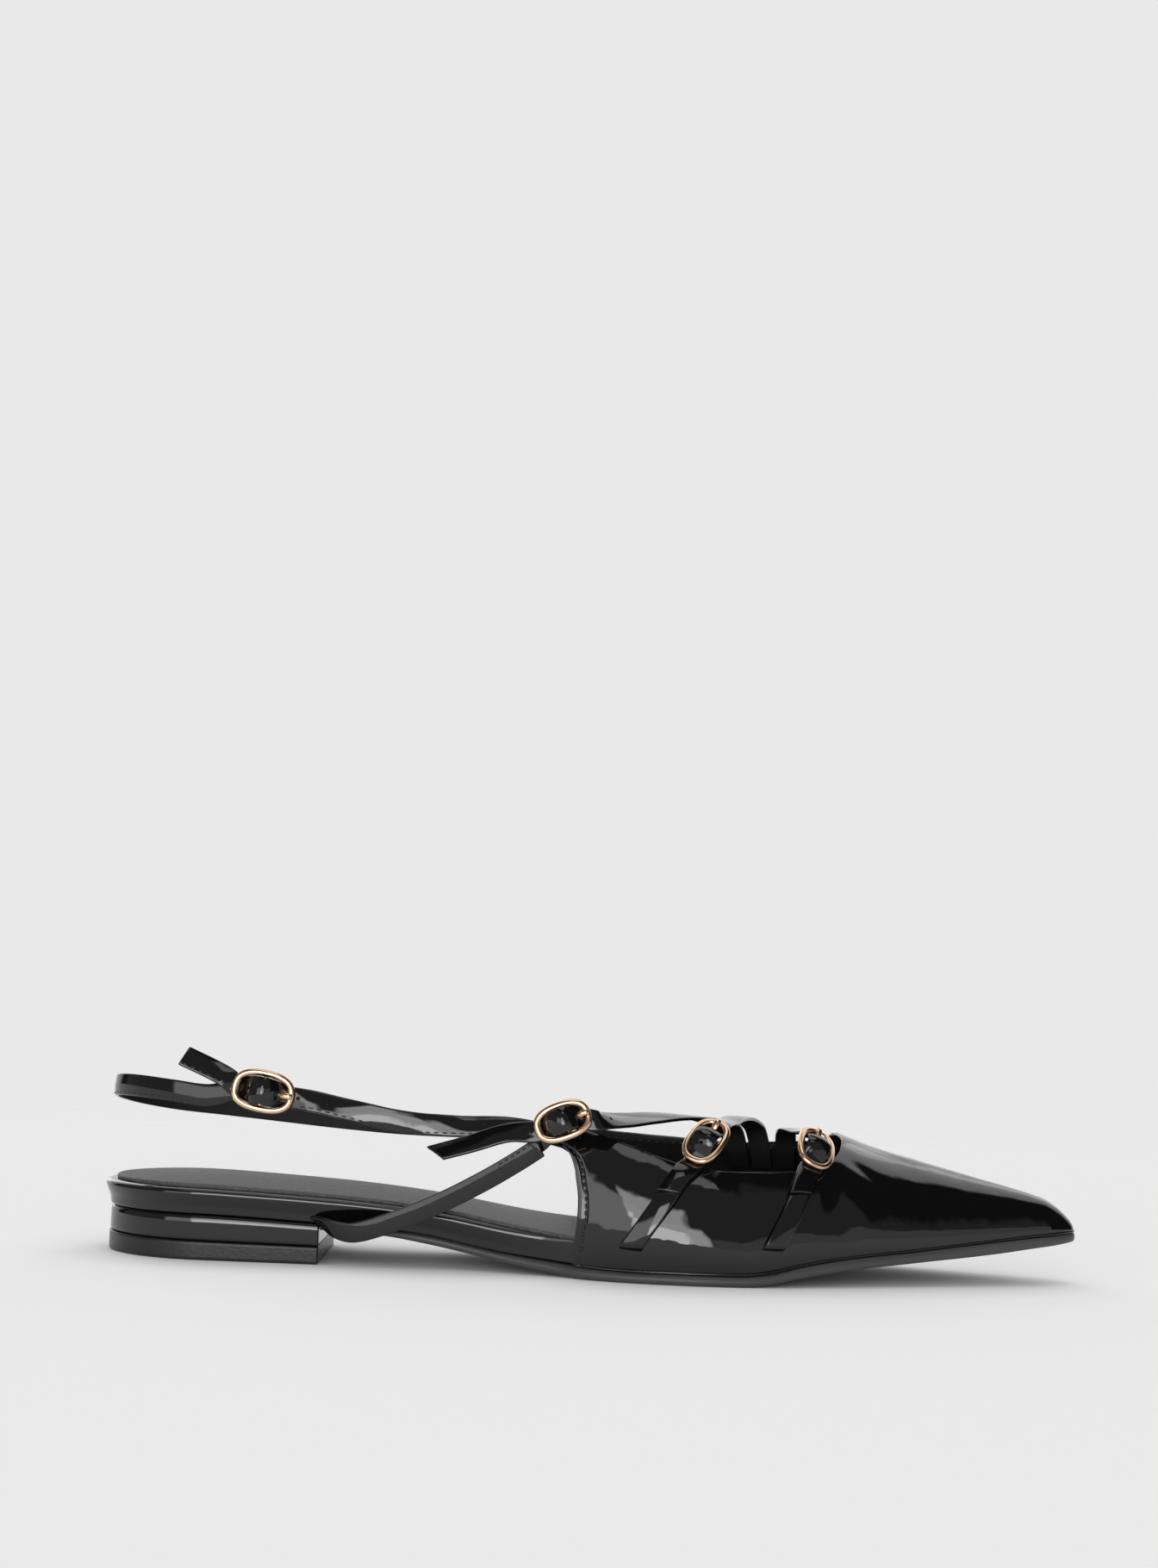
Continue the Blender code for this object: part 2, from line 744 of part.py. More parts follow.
def wire_mesh(name, points, radius, closed, radii=None):
    """Round wire along points, made from a curve."""
    curve = bpy.data.curves.new(name, "CURVE")
    curve.dimensions = "3D"
    curve.bevel_depth = radius * MM
    curve.bevel_resolution = 2
    curve.use_fill_caps = not closed
    spline = curve.splines.new("POLY")
    spline.points.add(len(points) - 1)
    for i, point in enumerate(points):
        spline.points[i].co = place(point).to_4d()
        spline.points[i].radius = radii[i] if radii else 1.0
    spline.use_cyclic_u = closed
    helper = bpy.data.objects.new(name + "_curve", curve)
    CUTTERS.objects.link(helper)
    mesh = bpy.data.meshes.new_from_object(helper)
    bpy.data.objects.remove(helper, do_unlink=True)
    bm = bmesh.new()
    bm.from_mesh(mesh)
    bmesh.ops.remove_doubles(bm, verts=bm.verts, dist=0.00001)
    bmesh.ops.recalc_face_normals(bm, faces=bm.faces)
    bm.to_mesh(mesh)
    bm.free()
    return mesh


def cut(thing, tool, operation="DIFFERENCE"):
    step = thing.modifiers.new(tool.name, "BOOLEAN")
    step.operation = operation
    step.solver = "EXACT"
    step.object = tool


def superellipse(angle, power):
    c, s = math.cos(angle), math.sin(angle)
    return math.copysign(abs(c) ** power, c), math.copysign(abs(s) ** power, s)


# Prong line in the buckle's own axes: along, out
PRONG_LINE = ((2.75, 0.12), (5.2, 0.81), (FRAME_A, 1.52), (8.4, 1.62), (8.9, 1.48))
FRAME_STEPS = 28


def make_buckle(name, buckle):
    ring = []
    for i in range(FRAME_STEPS):
        c, s = superellipse(2 * math.pi * (i + 0.5) / FRAME_STEPS, 0.78)
        a, b = FRAME_A * c, FRAME_B * s
        ring.append(buckle.spot(a, BUCKLE_BOW * (1.0 - c * c), b))
    frame = add_object(name + "_buckle", wire_mesh(name + "_buckle", ring, BUCKLE_WIRE, True), GOLD)
    bar = [buckle.spot(0.0, -BAR_DROP, b * FRAME_B) for b in (-1.0, 1.0)]
    bar_tool = add_object(name + "_bar", wire_mesh(name + "_bar", bar, BAR_RADIUS, False))
    cut(frame, bar_tool, "UNION")
    pin = [buckle.spot(a, n) for a, n in PRONG_LINE]
    taper = (1.0, 1.0, 0.95, 0.85, 0.6)
    add_object(name + "_prong", wire_mesh(name + "_prong", pin, PRONG_RADIUS, False, taper), GOLD)
    hole = [buckle.spot(a, n) for a, n in ((1.9, -0.12), (6.4, 1.15))]
    return add_object(name + "_hole", wire_mesh(name + "_hole", hole, PRONG_HOLE, False))


HOLES = {name: make_buckle(name, buckle) for name, buckle in BUCKLES.items()}

# Sling strap, lateral run: from inside the wing back through its buckle to the free tail
SLING = BUCKLES["sling"]
sling_front = [
    skin_row(138.0, 36.6, -1, INSIDE, 5.0),
    skin_row(129.5, 38.4, -1, INSIDE, 5.2),
    skin_row(121.5, 40.0, -1, INSIDE, STRAP_SLIM),
    free_row(112.0, -26.6, 40.4, 0, 6),
    free_row(100.0, -27.0, 40.2, 0, 4),
    free_row(88.0, -27.4, 40.5, 0, 4),
    free_row(76.0, -27.6, 42.1, 1, 6),
    free_row(64.0, -27.5, 44.4, 1, 8),
]
sling_front += through_rows(SLING)
sling_front += [
    free_row(31.4, -26.5, 52.6, 4, 10),
    free_row(22.2, -26.6, 56.6, 6, 10),
]
cut(strap("sling_strap_front", sling_front, end_slant=0.6), HOLES["sling"])

# Sling strap, medial run: from the medial wing round the heel to the buckle bar
sling_back = [
    skin_row(138.0, 33.0, 1, INSIDE, 5.0),
    skin_row(129.5, 34.6, 1, INSIDE, 5.2),
    skin_row(121.5, 36.0, 1, INSIDE, STRAP_SLIM),
    free_row(110.0, 22.6, 36.3, 180, 0),
    free_row(97.0, 23.6, 36.1, 178, 0),
    free_row(78.0, 25.0, 36.3, 175, 0),
    free_row(60.0, 25.6, 37.3, 172, 0),
    free_row(45.0, 25.2, 38.5, 168, 0),
    free_row(29.0, 23.2, 39.9, 158, 2),
    free_row(16.0, 19.0, 41.2, 142, 3),
    free_row(6.0, 12.0, 43.2, 120, 4),
    free_row(0.8, 1.6, 45.5, 92, 4),
    free_row(2.4, -9.0, 46.9, 65, 3),
    free_row(9.4, -17.6, 47.3, 40, 2),
    free_row(20.0, -22.8, 46.6, 22, 2),
    free_row(29.0, -24.6, 45.9, 8, 4),
    buckle_row(SLING, -9.4, -HOLD_UNDER - 0.5, 5.4, -1.6),
    buckle_row(SLING, -5.5, -HOLD_UNDER, TAB_WIDE, -0.7),
    buckle_row(SLING, -2.6, -2.25, TAB_WIDE, -0.2),
]
sling_back += loop_rows(SLING)
strap("sling_strap_back", sling_back)

# Arch strap: from under the platform by the heel breast, round the waist, up to the instep buckle
INSTEP = BUCKLES["instep"]
arch_rows = [
    free_row(57.0, -21.6, 13.7, 30, 80, 4.2),
    free_row(61.4, -25.6, 12.8, 24, 56, 4.6),
    free_row(66.0, -28.7, 10.8, 14, 24, 5.2),
    free_row(71.0, -30.3, 10.2, 5, 8, STRAP_SLIM),
    free_row(78.0, -31.4, 12.2, 0, 2, STRAP_SLIM),
    free_row(86.0, -32.4, 15.5, 0, 0, STRAP_SLIM),
    free_row(96.0, -33.4, 20.2, 0, 0, STRAP_SLIM),
    free_row(107.0, -35.0, 26.4, 0, 2, STRAP_SLIM),
    free_row(116.0, -36.6, 32.2, 0, 4, STRAP_SLIM),
    free_row(121.8, -37.6, 36.3, 0, 6, STRAP_SLIM),
]
strap("arch_strap", arch_rows, end_slant=0.5)
recess_rows = [
    free_row(56.2, -20.9, RECESS_Z, 0, 90, RECESS_WIDE),
    free_row(70.6, -34.0, RECESS_Z, 0, 90, RECESS_WIDE),
]
recess = strap("arch_recess", recess_rows, thick=RECESS_DEEP, material=None)
for layer in (footbed, heel_block, outsole):
    cut(layer, recess)
tab_rows = [
    free_row(110.0, -33.8, 28.4, 0, 2, TAB_WIDE),
    free_row(116.0, -34.9, 32.6, 0, 4, TAB_WIDE),
    free_row(121.6, -35.6, 36.9, 0, 8, TAB_WIDE),
    buckle_row(INSTEP, -2.9, -2.5, TAB_WIDE, -0.9),
]
tab_rows += loop_rows(INSTEP)
strap("arch_strap_tab", tab_rows)

# Instep strap: from the medial collar over the instep, through its buckle to the free tail
instep_rows = [
    skin_row(176.6, 36.0, 1, -0.6, STRAP_WIDE),
    free_row(175.2, 27.4, 38.0, 0, 140),
    free_row(171.6, 21.0, 40.2, 0, 120),
    free_row(166.0, 11.5, 42.0, 0, 102),
    free_row(159.0, -1.0, 43.0, 0, 88),
    free_row(152.0, -13.0, 43.3, 0, 72),
    free_row(145.0, -25.5, 43.6, 0, 48),
]
instep_rows.append(buckle_row(INSTEP, 9.6, -UNDER_FRAME - 0.3, THROUGH_WIDE, -2.8))
instep_rows += through_rows(INSTEP, -2.2)
instep_rows += [
    free_row(113.0, -38.6, 39.8, 0, 30, STRAP_SLIM),
    free_row(103.0, -39.4, 36.5, 0, 38, STRAP_SLIM),
    free_row(93.4, -40.0, 33.6, 0, 42, STRAP_SLIM),
]
cut(strap("instep_strap", instep_rows, end_slant=-3.6), HOLES["instep"])

# Vamp straps: lower halves lie on the vamp and hold the buckles, upper halves cross the throat
TAIL_SWING = -1.0
TAIL_SLANT = -2.6
SLIT_SLANT = -3.6
REAR = BUCKLES["rear_vamp"]
rear_lower = [
    skin_row(147.4, 10.2, -1, ON_SKIN),
    skin_row(151.6, 16.4, -1, ON_SKIN),
    skin_row(156.4, 23.5, -1, ON_SKIN),
    skin_row(160.6, 29.8, -1, ON_SKIN),
    buckle_row(REAR, -8.6, -HOLD_UNDER + 0.05, 5.2),
    buckle_row(REAR, -5.4, -HOLD_UNDER, TAB_WIDE),
    buckle_row(REAR, -2.6, -2.25, TAB_WIDE),
]
rear_lower += loop_rows(REAR)
strap("rear_vamp_strap_lower", rear_lower, start_slant=SLIT_SLANT)
rear_upper = [
    skin_row(183.4, 35.7, 1, -0.6, STRAP_WIDE),
    free_row(182.0, 26.0, 38.2, 0, 138),
    free_row(180.4, 20.0, 40.6, 0, 120),
    free_row(178.0, 11.0, 42.6, 0, 100),
    free_row(175.4, 0.0, 43.4, 0, 82),
    free_row(173.0, -11.0, 43.2, 0, 66),
]
rear_upper += through_rows(REAR)
rear_upper += [
    buckle_row(REAR, -11.6, -UNDER_FRAME + 0.3, STRAP_SLIM, TAIL_SWING),
    buckle_row(REAR, -18.2, -UNDER_FRAME + 0.3, 4.8, 2.6 * TAIL_SWING),
]
cut(strap("rear_vamp_strap_upper", rear_upper, end_slant=TAIL_SLANT), HOLES["rear_vamp"])

FRONT = BUCKLES["front_vamp"]
front_lower = [
    skin_row(186.3, 11.6, -1, ON_SKIN),
    skin_row(189.6, 18.0, -1, ON_SKIN),
    skin_row(192.6, 24.6, -1, ON_SKIN),
    skin_row(194.0, 27.9, -1, ON_SKIN),
    buckle_row(FRONT, -8.4, -HOLD_UNDER - 0.3, 5.2, 1.0),
    buckle_row(FRONT, -5.3, -HOLD_UNDER - 0.1, TAB_WIDE, 0.4),
    buckle_row(FRONT, -2.6, -2.3, TAB_WIDE),
]
front_lower += loop_rows(FRONT)
strap("front_vamp_strap_lower", front_lower, start_slant=SLIT_SLANT)
front_upper = [
    skin_row(190.6, 36.3, 1, -0.6, STRAP_WIDE),
    free_row(190.6, 24.4, 37.4, 0, 134),
    free_row(190.5, 18.6, 38.8, 0, 118),
    free_row(191.4, 9.6, 40.0, 0, 100),
    free_row(193.6, 0.0, 40.3, 0, 86),
]
front_upper += through_rows(FRONT)
front_upper += [
    buckle_row(FRONT, -11.6, -UNDER_FRAME + 0.4, STRAP_SLIM, TAIL_SWING),
    buckle_row(FRONT, -18.6, -UNDER_FRAME + 0.4, 4.4, 1.6 * TAIL_SWING),
]
cut(strap("front_vamp_strap_upper", front_upper, end_slant=TAIL_SLANT), HOLES["front_vamp"])
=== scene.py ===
# Pointed-toe slingback flat, right shoe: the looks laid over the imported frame
import math

import bmesh
import bpy
import numpy as np
from mathutils import Matrix, Vector


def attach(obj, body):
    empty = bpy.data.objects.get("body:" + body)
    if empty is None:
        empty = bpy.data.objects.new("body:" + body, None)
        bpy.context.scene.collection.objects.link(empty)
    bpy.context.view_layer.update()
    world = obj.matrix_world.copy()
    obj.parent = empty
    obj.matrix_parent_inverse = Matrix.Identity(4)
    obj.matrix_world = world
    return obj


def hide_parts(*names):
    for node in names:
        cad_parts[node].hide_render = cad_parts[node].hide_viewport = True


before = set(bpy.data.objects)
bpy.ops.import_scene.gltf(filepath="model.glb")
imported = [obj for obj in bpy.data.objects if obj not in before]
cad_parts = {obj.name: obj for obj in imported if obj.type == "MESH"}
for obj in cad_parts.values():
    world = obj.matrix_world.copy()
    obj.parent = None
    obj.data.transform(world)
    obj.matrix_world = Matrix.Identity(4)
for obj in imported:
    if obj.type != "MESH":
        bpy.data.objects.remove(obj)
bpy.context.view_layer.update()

# Main sizes in millimetres, stations run from the heel back to the toe tip
MM = 0.001
LENGTH = 272.0
MIDDLE_S = 135.3
MIDDLE_Y = -0.5
GROUND_Z = 0.5
SEAM_GAP = 0.3
UPPER_WALL = 1.5
WALL_BULGE = 1.3
WIDEST_HALF = 39.0
HEEL_ROUND = 27.0
TOE_ROUND = 8.0
TOE_CAP_ROUND = 9.5
TOE_LIFT = 0.25
TOE_LIFT_S = 245.0
TOE_LIFT_RUN = 25.0
BREAST_S = 61.0
TOP_PIECE_BACK_Z = 6.1
TOP_PIECE_FRONT_Z = 5.5
SOCK_THICK = 1.1
SOCK_INSET = 2.2
STRAP_WIDE = 6.0
STRAP_SLIM = 5.5
THROUGH_WIDE = 7.1
TAB_WIDE = 4.4
STRAP_THICK = 1.1
BUCKLE_LONG = 17.0
BUCKLE_WIDE = 11.4
BUCKLE_WIRE = 0.85
BUCKLE_BOW = 0.45
BAR_RADIUS = 0.55
BAR_DROP = 0.25
METAL_GAP = 0.25


def place(points):
    """Millimetre points of the tables in the shared frame, in metres."""
    return (np.asarray(points, float) - (MIDDLE_S, MIDDLE_Y, GROUND_Z)) * MM


def unit(vectors):
    vectors = np.asarray(vectors, float)
    return vectors / np.maximum(np.linalg.norm(vectors, axis=-1, keepdims=True), 1e-12)


def soften(values, spread):
    """Gaussian smoothing down the first axis that holds both ends where they are."""
    values = np.asarray(values, float)
    reach = min(int(math.ceil(3.0 * spread)), len(values) - 1)
    if reach < 1:
        return values
    kernel = np.exp(-0.5 * (np.arange(-reach, reach + 1) / spread) ** 2)
    kernel /= kernel.sum()
    before = 2.0 * values[0] - values[reach:0:-1]
    after = 2.0 * values[-1] - values[-2:-reach - 2:-1]
    padded = np.concatenate((before, values, after))
    smooth = np.zeros_like(values)
    for k, weight in enumerate(kernel):
        smooth = smooth + weight * padded[k:k + len(values)]
    return smooth


def monotone(keys, values, at):
    """Curve through the rows that never overshoots them."""
    secants = np.diff(values) / np.diff(keys)
    slopes = np.concatenate((secants[:1], np.zeros(len(keys) - 2), secants[-1:]))
    before, after = secants[:-1], secants[1:]
    same = before * after > 0.0
    total = np.where(same, before + after, 1.0)
    slopes[1:-1] = np.where(same, 2.0 * before * after / total, 0.0)
    i = np.clip(np.searchsorted(keys, at, side="right") - 1, 0, len(keys) - 2)
    span = keys[i + 1] - keys[i]
    t = (at - keys[i]) / span
    start = (2 * t**3 - 3 * t**2 + 1) * values[i] + (t**3 - 2 * t**2 + t) * slopes[i] * span
    return start + (3 * t**2 - 2 * t**3) * values[i + 1] + (t**3 - t**2) * slopes[i + 1] * span


class Chart:
    """Rows with named columns, read between the rows along soft curves."""

    def __init__(self, names, rows, step, spread):
        rows = np.array(rows, float)
        count = int(round((rows[-1, 0] - rows[0, 0]) / step)) + 1
        self.keys = np.linspace(rows[0, 0], rows[-1, 0], count)
        self.columns = {}
        for name, values in zip(names, rows.T[1:]):
            curve = monotone(rows[:, 0], values, self.keys)
            self.columns[name] = soften(curve, spread / step)

    def __call__(self, key, name):
        return np.interp(key, self.keys, self.columns[name])


# Feather line of the last seen from above
PLAN = Chart(
    ("lateral", "medial"),
    (
        (0, -25.3, 25.3), (30, -26.2, 26.0), (60, -25.8, 24.6), (95, -26.3, 21.6),
        (115, -29.5, 23.6), (132, -34.0, 29.0), (150, -38.0, 35.0), (165, -39.0, 38.3),
        (180, -37.3, 39.4), (195, -32.8, 37.4), (215, -24.6, 31.2), (235, -15.7, 24.0),
        (252, -8.2, 17.3), (264, -3.2, 12.8), (272, 0.2, 9.8),
    ),
    step=0.25,
    spread=4.0,
)

# Sole in side view: seat under the foot, underside, and how far the edge stands out
SOLE = Chart(
    ("seat", "under", "flare"),
    (
        (0, 13.4, 11.0, -1.0), (28, 13.2, 10.8, -1.0), (61, 12.0, 9.9, -1.0),
        (79, 11.2, 9.0, -0.8), (91, 9.9, 7.3, -0.6), (102, 7.9, 5.3, -0.5),
        (113, 6.0, 3.2, -0.4), (125, 4.6, 1.5, -0.2), (130, 4.1, 1.0, 0.3),
        (135, 3.8, 0.7, 1.7), (146, 3.4, 0.5, 2.1), (178, 3.4, 0.5, 2.1),
        (186, 4.3, 1.4, 2.1), (193, 6.0, 2.9, 2.0), (206, 8.2, 5.0, 1.9),
        (226, 10.2, 7.1, 1.7), (247, 12.5, 9.2, 1.4), (261, 13.9, 11.0, 1.0),
        (272, 14.8, 12.4, 0.4),
    ),
    step=0.25,
    spread=1.6,
)

# Footbed: top under the sock, how far it stays inside the last, how much its edge rolls out
FOOTBED = Chart(
    ("top", "inset", "roll"),
    (
        (0, 20.4, -0.1, 1.0), (25, 20.3, -0.1, 1.0), (44, 19.7, -0.1, 1.0),
        (68, 18.6, -0.1, 1.0), (85, 17.3, 0.0, 1.0), (97, 15.8, 0.1, 0.9),
        (106, 14.2, 0.4, 0.8), (116, 12.5, 1.3, 0.5), (124, 11.3, 2.4, 0.15),
        (132, 10.4, 2.9, 0.0), (145, 9.1, 2.9, 0.0), (165, 8.0, 2.9, 0.0),
        (182, 7.9, 2.9, 0.0), (192, 9.5, 2.9, 0.0), (206, 11.5, 2.9, 0.0),
        (226, 13.2, 2.9, 0.0), (247, 15.2, 2.9, 0.0), (262, 16.4, 2.9, 0.0),
        (272, 17.0, 2.9, 0.0),
    ),
    step=0.25,
    spread=3.0,
)

# Top of the last: ridge height, lean to the medial side, squareness of the section
RIDGE = Chart(
    ("height", "lean", "square"),
    (
        (112, 68.0, 8.0, 3.3), (132, 58.0, 7.5, 3.0), (145, 51.0, 6.5, 2.8),
        (160, 46.0, 5.5, 2.6), (175, 43.6, 4.6, 2.45), (190, 42.4, 3.6, 2.35),
        (204, 40.5, 2.6, 2.25), (214, 36.7, 2.0, 2.15), (227, 33.5, 1.5, 2.1),
        (240, 30.1, 1.0, 2.05), (254, 26.7, 0.5, 2.0), (263, 24.2, 0.2, 2.0),
        (272, 20.8, 0.0, 2.0),
    ),
    step=0.25,
    spread=3.5,
)

# Collar line and throat of the vamp: side (-1 lateral, 0 ridge, 1 medial), station, height
TOPLINE = (
    (-1, 121.0, 42.6), (-1, 128.0, 42.0), (-1, 135.5, 40.4), (-1, 141.0, 38.8),
    (-1, 148.0, 36.6), (-1, 159.0, 33.0), (-1, 167.0, 31.4), (-1, 178.0, 31.1),
    (-1, 188.0, 31.2), (-1, 194.0, 31.7), (-1, 199.0, 32.8), (-1, 202.6, 34.8),
    (-1, 204.6, 37.5), (-1, 204.9, 39.0), (0, 204.4, 0.0), (1, 203.4, 39.4),
    (1, 201.5, 37.8), (1, 196.0, 36.0), (1, 187.6, 35.3), (1, 178.0, 34.6),
    (1, 161.5, 35.2), (1, 148.0, 36.0), (1, 137.8, 36.9), (1, 129.0, 38.2),
    (1, 121.0, 39.4),
)

# Rear edges of the two wings from the feather line up to the tab: way up, station, height
LATERAL_WING = (
    (0.0, 131.6, 0.0), (0.18, 131.9, 10.8), (0.36, 132.5, 17.8), (0.56, 131.9, 26.6),
    (0.70, 130.8, 31.8), (0.80, 128.6, 35.6), (0.88, 125.2, 37.6), (0.94, 121.6, 39.2),
    (1.0, 121.0, 42.6),
)
MEDIAL_WING = (
    (0.0, 132.0, 0.0), (0.22, 132.4, 11.0), (0.44, 132.2, 18.5), (0.62, 131.2, 25.0),
    (0.74, 129.4, 29.6), (0.84, 126.2, 32.6), (0.93, 121.8, 34.6), (1.0, 121.0, 39.4),
)
TOE_CROWD = 0.85
TOPLINE_REAR_S = 121.0
TOPLINE_TURN_S = 198.0
THROAT_S = 205.4
FEATHER_REAR_S = 131.6
FEATHER_TURN_S = 236.0
WING_HOLD = 0.22
BULGE_PEAK = 9.5
SLOPE_S = 0.4
SLOPE_TURN = 0.02
HEART_UP = 6.0


def end_round(distance, radius):
    near = np.clip(1.0 - np.asarray(distance, float) / radius, 0.0, 1.0)
    return np.sqrt(1.0 - near**2)


def foot_middle(s):
    return 0.5 * (PLAN(s, "lateral") + PLAN(s, "medial"))


def half_width(s):
    half = 0.5 * (PLAN(s, "medial") - PLAN(s, "lateral"))
    return half * end_round(s, HEEL_ROUND) * end_round(LENGTH - s, TOE_ROUND)


def feather_height(s):
    lift = np.clip((s - TOE_LIFT_S) / TOE_LIFT_RUN, 0.0, 1.0)
    return SOLE(s, "seat") + SEAM_GAP + TOE_LIFT * lift * lift * (3.0 - 2.0 * lift)


def skin(s, turn):
    """Points of the last; turn goes from the lateral feather over the ridge."""
    s, turn = np.asarray(s, float), np.asarray(turn, float)
    half = half_width(s)
    lean = RIDGE(s, "lean") * end_round(LENGTH - s, TOE_ROUND)
    base = feather_height(s)
    rise = (RIDGE(s, "height") - base) * end_round(LENGTH - s, TOE_CAP_ROUND)
    power = 2.0 / RIDGE(s, "square")
    out = np.abs(np.cos(turn)) ** power
    up = np.maximum(np.sin(turn), 0.0) ** power
    bulge = WALL_BULGE * (half / WIDEST_HALF) * BULGE_PEAK * up * (1.0 - up) ** 3
    lateral = -(half + lean) * out - bulge
    medial = (half - lean) * out + bulge
    y = foot_middle(s) + lean + np.where(turn <= np.pi / 2, lateral, medial)
    return np.stack((s + 0.0 * turn, y, base + rise * up), -1)


def skin_normal(s, turn):
    along = skin(s + SLOPE_S, turn) - skin(s - SLOPE_S, turn)
    across = skin(s, turn + SLOPE_TURN) - skin(s, turn - SLOPE_TURN)
    normal = unit(np.cross(across, along))
    heart = np.array((s, foot_middle(s), feather_height(s) + HEART_UP))
    return normal if normal @ (skin(s, turn) - heart) > 0.0 else -normal


def turn_at(s, z, side):
    base = feather_height(s)
    share = np.clip((z - base) / (RIDGE(s, "height") - base), 0.0, 1.0)
    turn = np.arcsin(share ** (RIDGE(s, "square") / 2.0))
    return turn if side < 0 else np.pi - turn


def flat_point(s, turn):
    """Spread-out pattern of the vamp: toe tip at the origin, feather line along the base."""
    reach = math.sqrt(max(LENGTH - s, 0.0))
    return (reach * math.cos(turn), reach * math.sin(turn))


FEATHER_REACH = math.sqrt(LENGTH - FEATHER_REAR_S)


def pattern_place(side, s):
    """Place along the pattern, 0 at the lateral wing, 1 at the medial wing."""
    if s <= TOPLINE_TURN_S:
        part = (s - TOPLINE_REAR_S) / (TOPLINE_TURN_S - TOPLINE_REAR_S)
        base_s = FEATHER_REAR_S + part * (FEATHER_TURN_S - FEATHER_REAR_S)
    else:
        part = (s - TOPLINE_TURN_S) / (THROAT_S - TOPLINE_TURN_S)
        base_s = FEATHER_TURN_S + part * (LENGTH - FEATHER_TURN_S)
    share = (math.sqrt(max(LENGTH - base_s, 0.0)) / FEATHER_REACH) ** (1.0 / TOE_CROWD)
    return 0.5 + 0.5 * side * share


def topline_chart():
    rows = []
    for side, s, z in TOPLINE:
        turn = np.pi / 2 if side == 0 else turn_at(s, z, side)
        rows.append((pattern_place(side, s),) + flat_point(s, turn))
    return Chart(("p", "q"), rows, step=0.001, spread=0.007)


def wing_chart(rows, side):
    laid = []
    for v, s, z in rows:
        turn = turn_at(s, max(z, feather_height(s)), side)
        laid.append((v,) + flat_point(s, turn))
    return Chart(("p", "q"), laid, step=0.002, spread=0.02)


TOPLINE_FLAT = topline_chart()
LATERAL_FLAT = wing_chart(LATERAL_WING, -1)
MEDIAL_FLAT = wing_chart(MEDIAL_WING, 1)


def vamp_skin(u, v):
    """Vamp pattern, u from the lateral wing round the toe, v from the feather to the collar."""
    away = 1.0 - 2.0 * u
    base_p = np.sign(away) * FEATHER_REACH * np.abs(away) ** TOE_CROWD
    p = (1.0 - v) * base_p + v * TOPLINE_FLAT(u, "p")
    q = v * TOPLINE_FLAT(u, "q")
    for wing, part, side, end in ((LATERAL_FLAT, u, 1.0, 0.0), (MEDIAL_FLAT, 1.0 - u, -1.0, 1.0)):
        hold = np.maximum(0.0, 1.0 - part / WING_HOLD) ** 2
        rear_p = (1.0 - v) * side * FEATHER_REACH + v * TOPLINE_FLAT(end, "p")
        rear_q = v * TOPLINE_FLAT(end, "q")
        p = p + hold * (wing(v, "p") - rear_p)
        q = q + hold * (wing(v, "q") - rear_q)
    return skin(LENGTH - p**2 - q**2, np.arctan2(np.maximum(q, 0.0), p))


# Node helpers for the materials and the studio
def add_node(tree, kind, **settings):
    node = tree.nodes.new(kind)
    for name, value in settings.items():
        setattr(node, name, value)
    return node


def wire(tree, source, target):
    tree.links.new(source, target)


def maths(tree, operation, first, second=0.0):
    node = add_node(tree, "ShaderNodeMath", operation=operation)
    for slot, value in zip(node.inputs, (first, second)):
        if isinstance(value, (int, float)):
            slot.default_value = value
        else:
            wire(tree, value, slot)
    return node.outputs[0]


def ramp(tree, value, low, high, start=0.0, end=1.0):
    """Soft step of a value from one level to another."""
    node = add_node(tree, "ShaderNodeMapRange", interpolation_type="SMOOTHSTEP")
    wire(tree, value, node.inputs["Value"])
    node.inputs["From Min"].default_value = low
    node.inputs["From Max"].default_value = high
    node.inputs["To Min"].default_value = start
    node.inputs["To Max"].default_value = end
    return node.outputs["Result"]


def noise(tree, coords, scale, detail=2.0, roughness=0.5):
    node = add_node(tree, "ShaderNodeTexNoise")
    node.inputs["Scale"].default_value = scale
    node.inputs["Detail"].default_value = detail
    node.inputs["Roughness"].default_value = roughness
    wire(tree, coords, node.inputs["Vector"])
    return node.outputs["Fac"]


def bump(tree, height, strength, distance, before=None):
    node = add_node(tree, "ShaderNodeBump")
    node.inputs["Strength"].default_value = strength
    node.inputs["Distance"].default_value = distance
    wire(tree, height, node.inputs["Height"])
    if before is not None:
        wire(tree, before, node.inputs["Normal"])
    return node.outputs["Normal"]


# Finishes: black, waves and coat of the patent, scuffs and skin of the rubber, grain
PATENT_BLACK = (0.0035, 0.0035, 0.0039)
BROAD_WAVES = 75.0
MIDDLE_WAVES = 230.0
MIDDLE_SHARE = 0.22
FINE_WAVES = 900.0
COAT_IOR = 1.55
SCUFF_SCALE = 160.0
SCUFF_FROM = 0.62
SCUFF_FULL = 0.75
SCUFF_TONE = (0.09, 0.09, 0.09, 1.0)
SCUFF_ROUGHER = 0.2
RUBBER_SKIN_SCALE = 900.0
RUBBER_SKIN_DEEP = 0.09
GRAIN_BUMP = 0.8


def new_material(name, colour, roughness, metallic=0.0, level=0.5, coat=0.0, coat_rough=0.03):
    material = bpy.data.materials.new(name)
    material.use_nodes = True
    tree = material.node_tree
    shader = tree.nodes["Principled BSDF"]
    shader.inputs["Base Color"].default_value = tuple(colour) + (1.0,)
    shader.inputs["Roughness"].default_value = roughness
    shader.inputs["Metallic"].default_value = metallic
    shader.inputs["Specular IOR Level"].default_value = level
    shader.inputs["Coat Weight"].default_value = coat
    shader.inputs["Coat Roughness"].default_value = coat_rough
    shader.inputs["Coat IOR"].default_value = COAT_IOR
    coords = add_node(tree, "ShaderNodeTexCoord").outputs["Object"]
    return material, tree, shader, coords


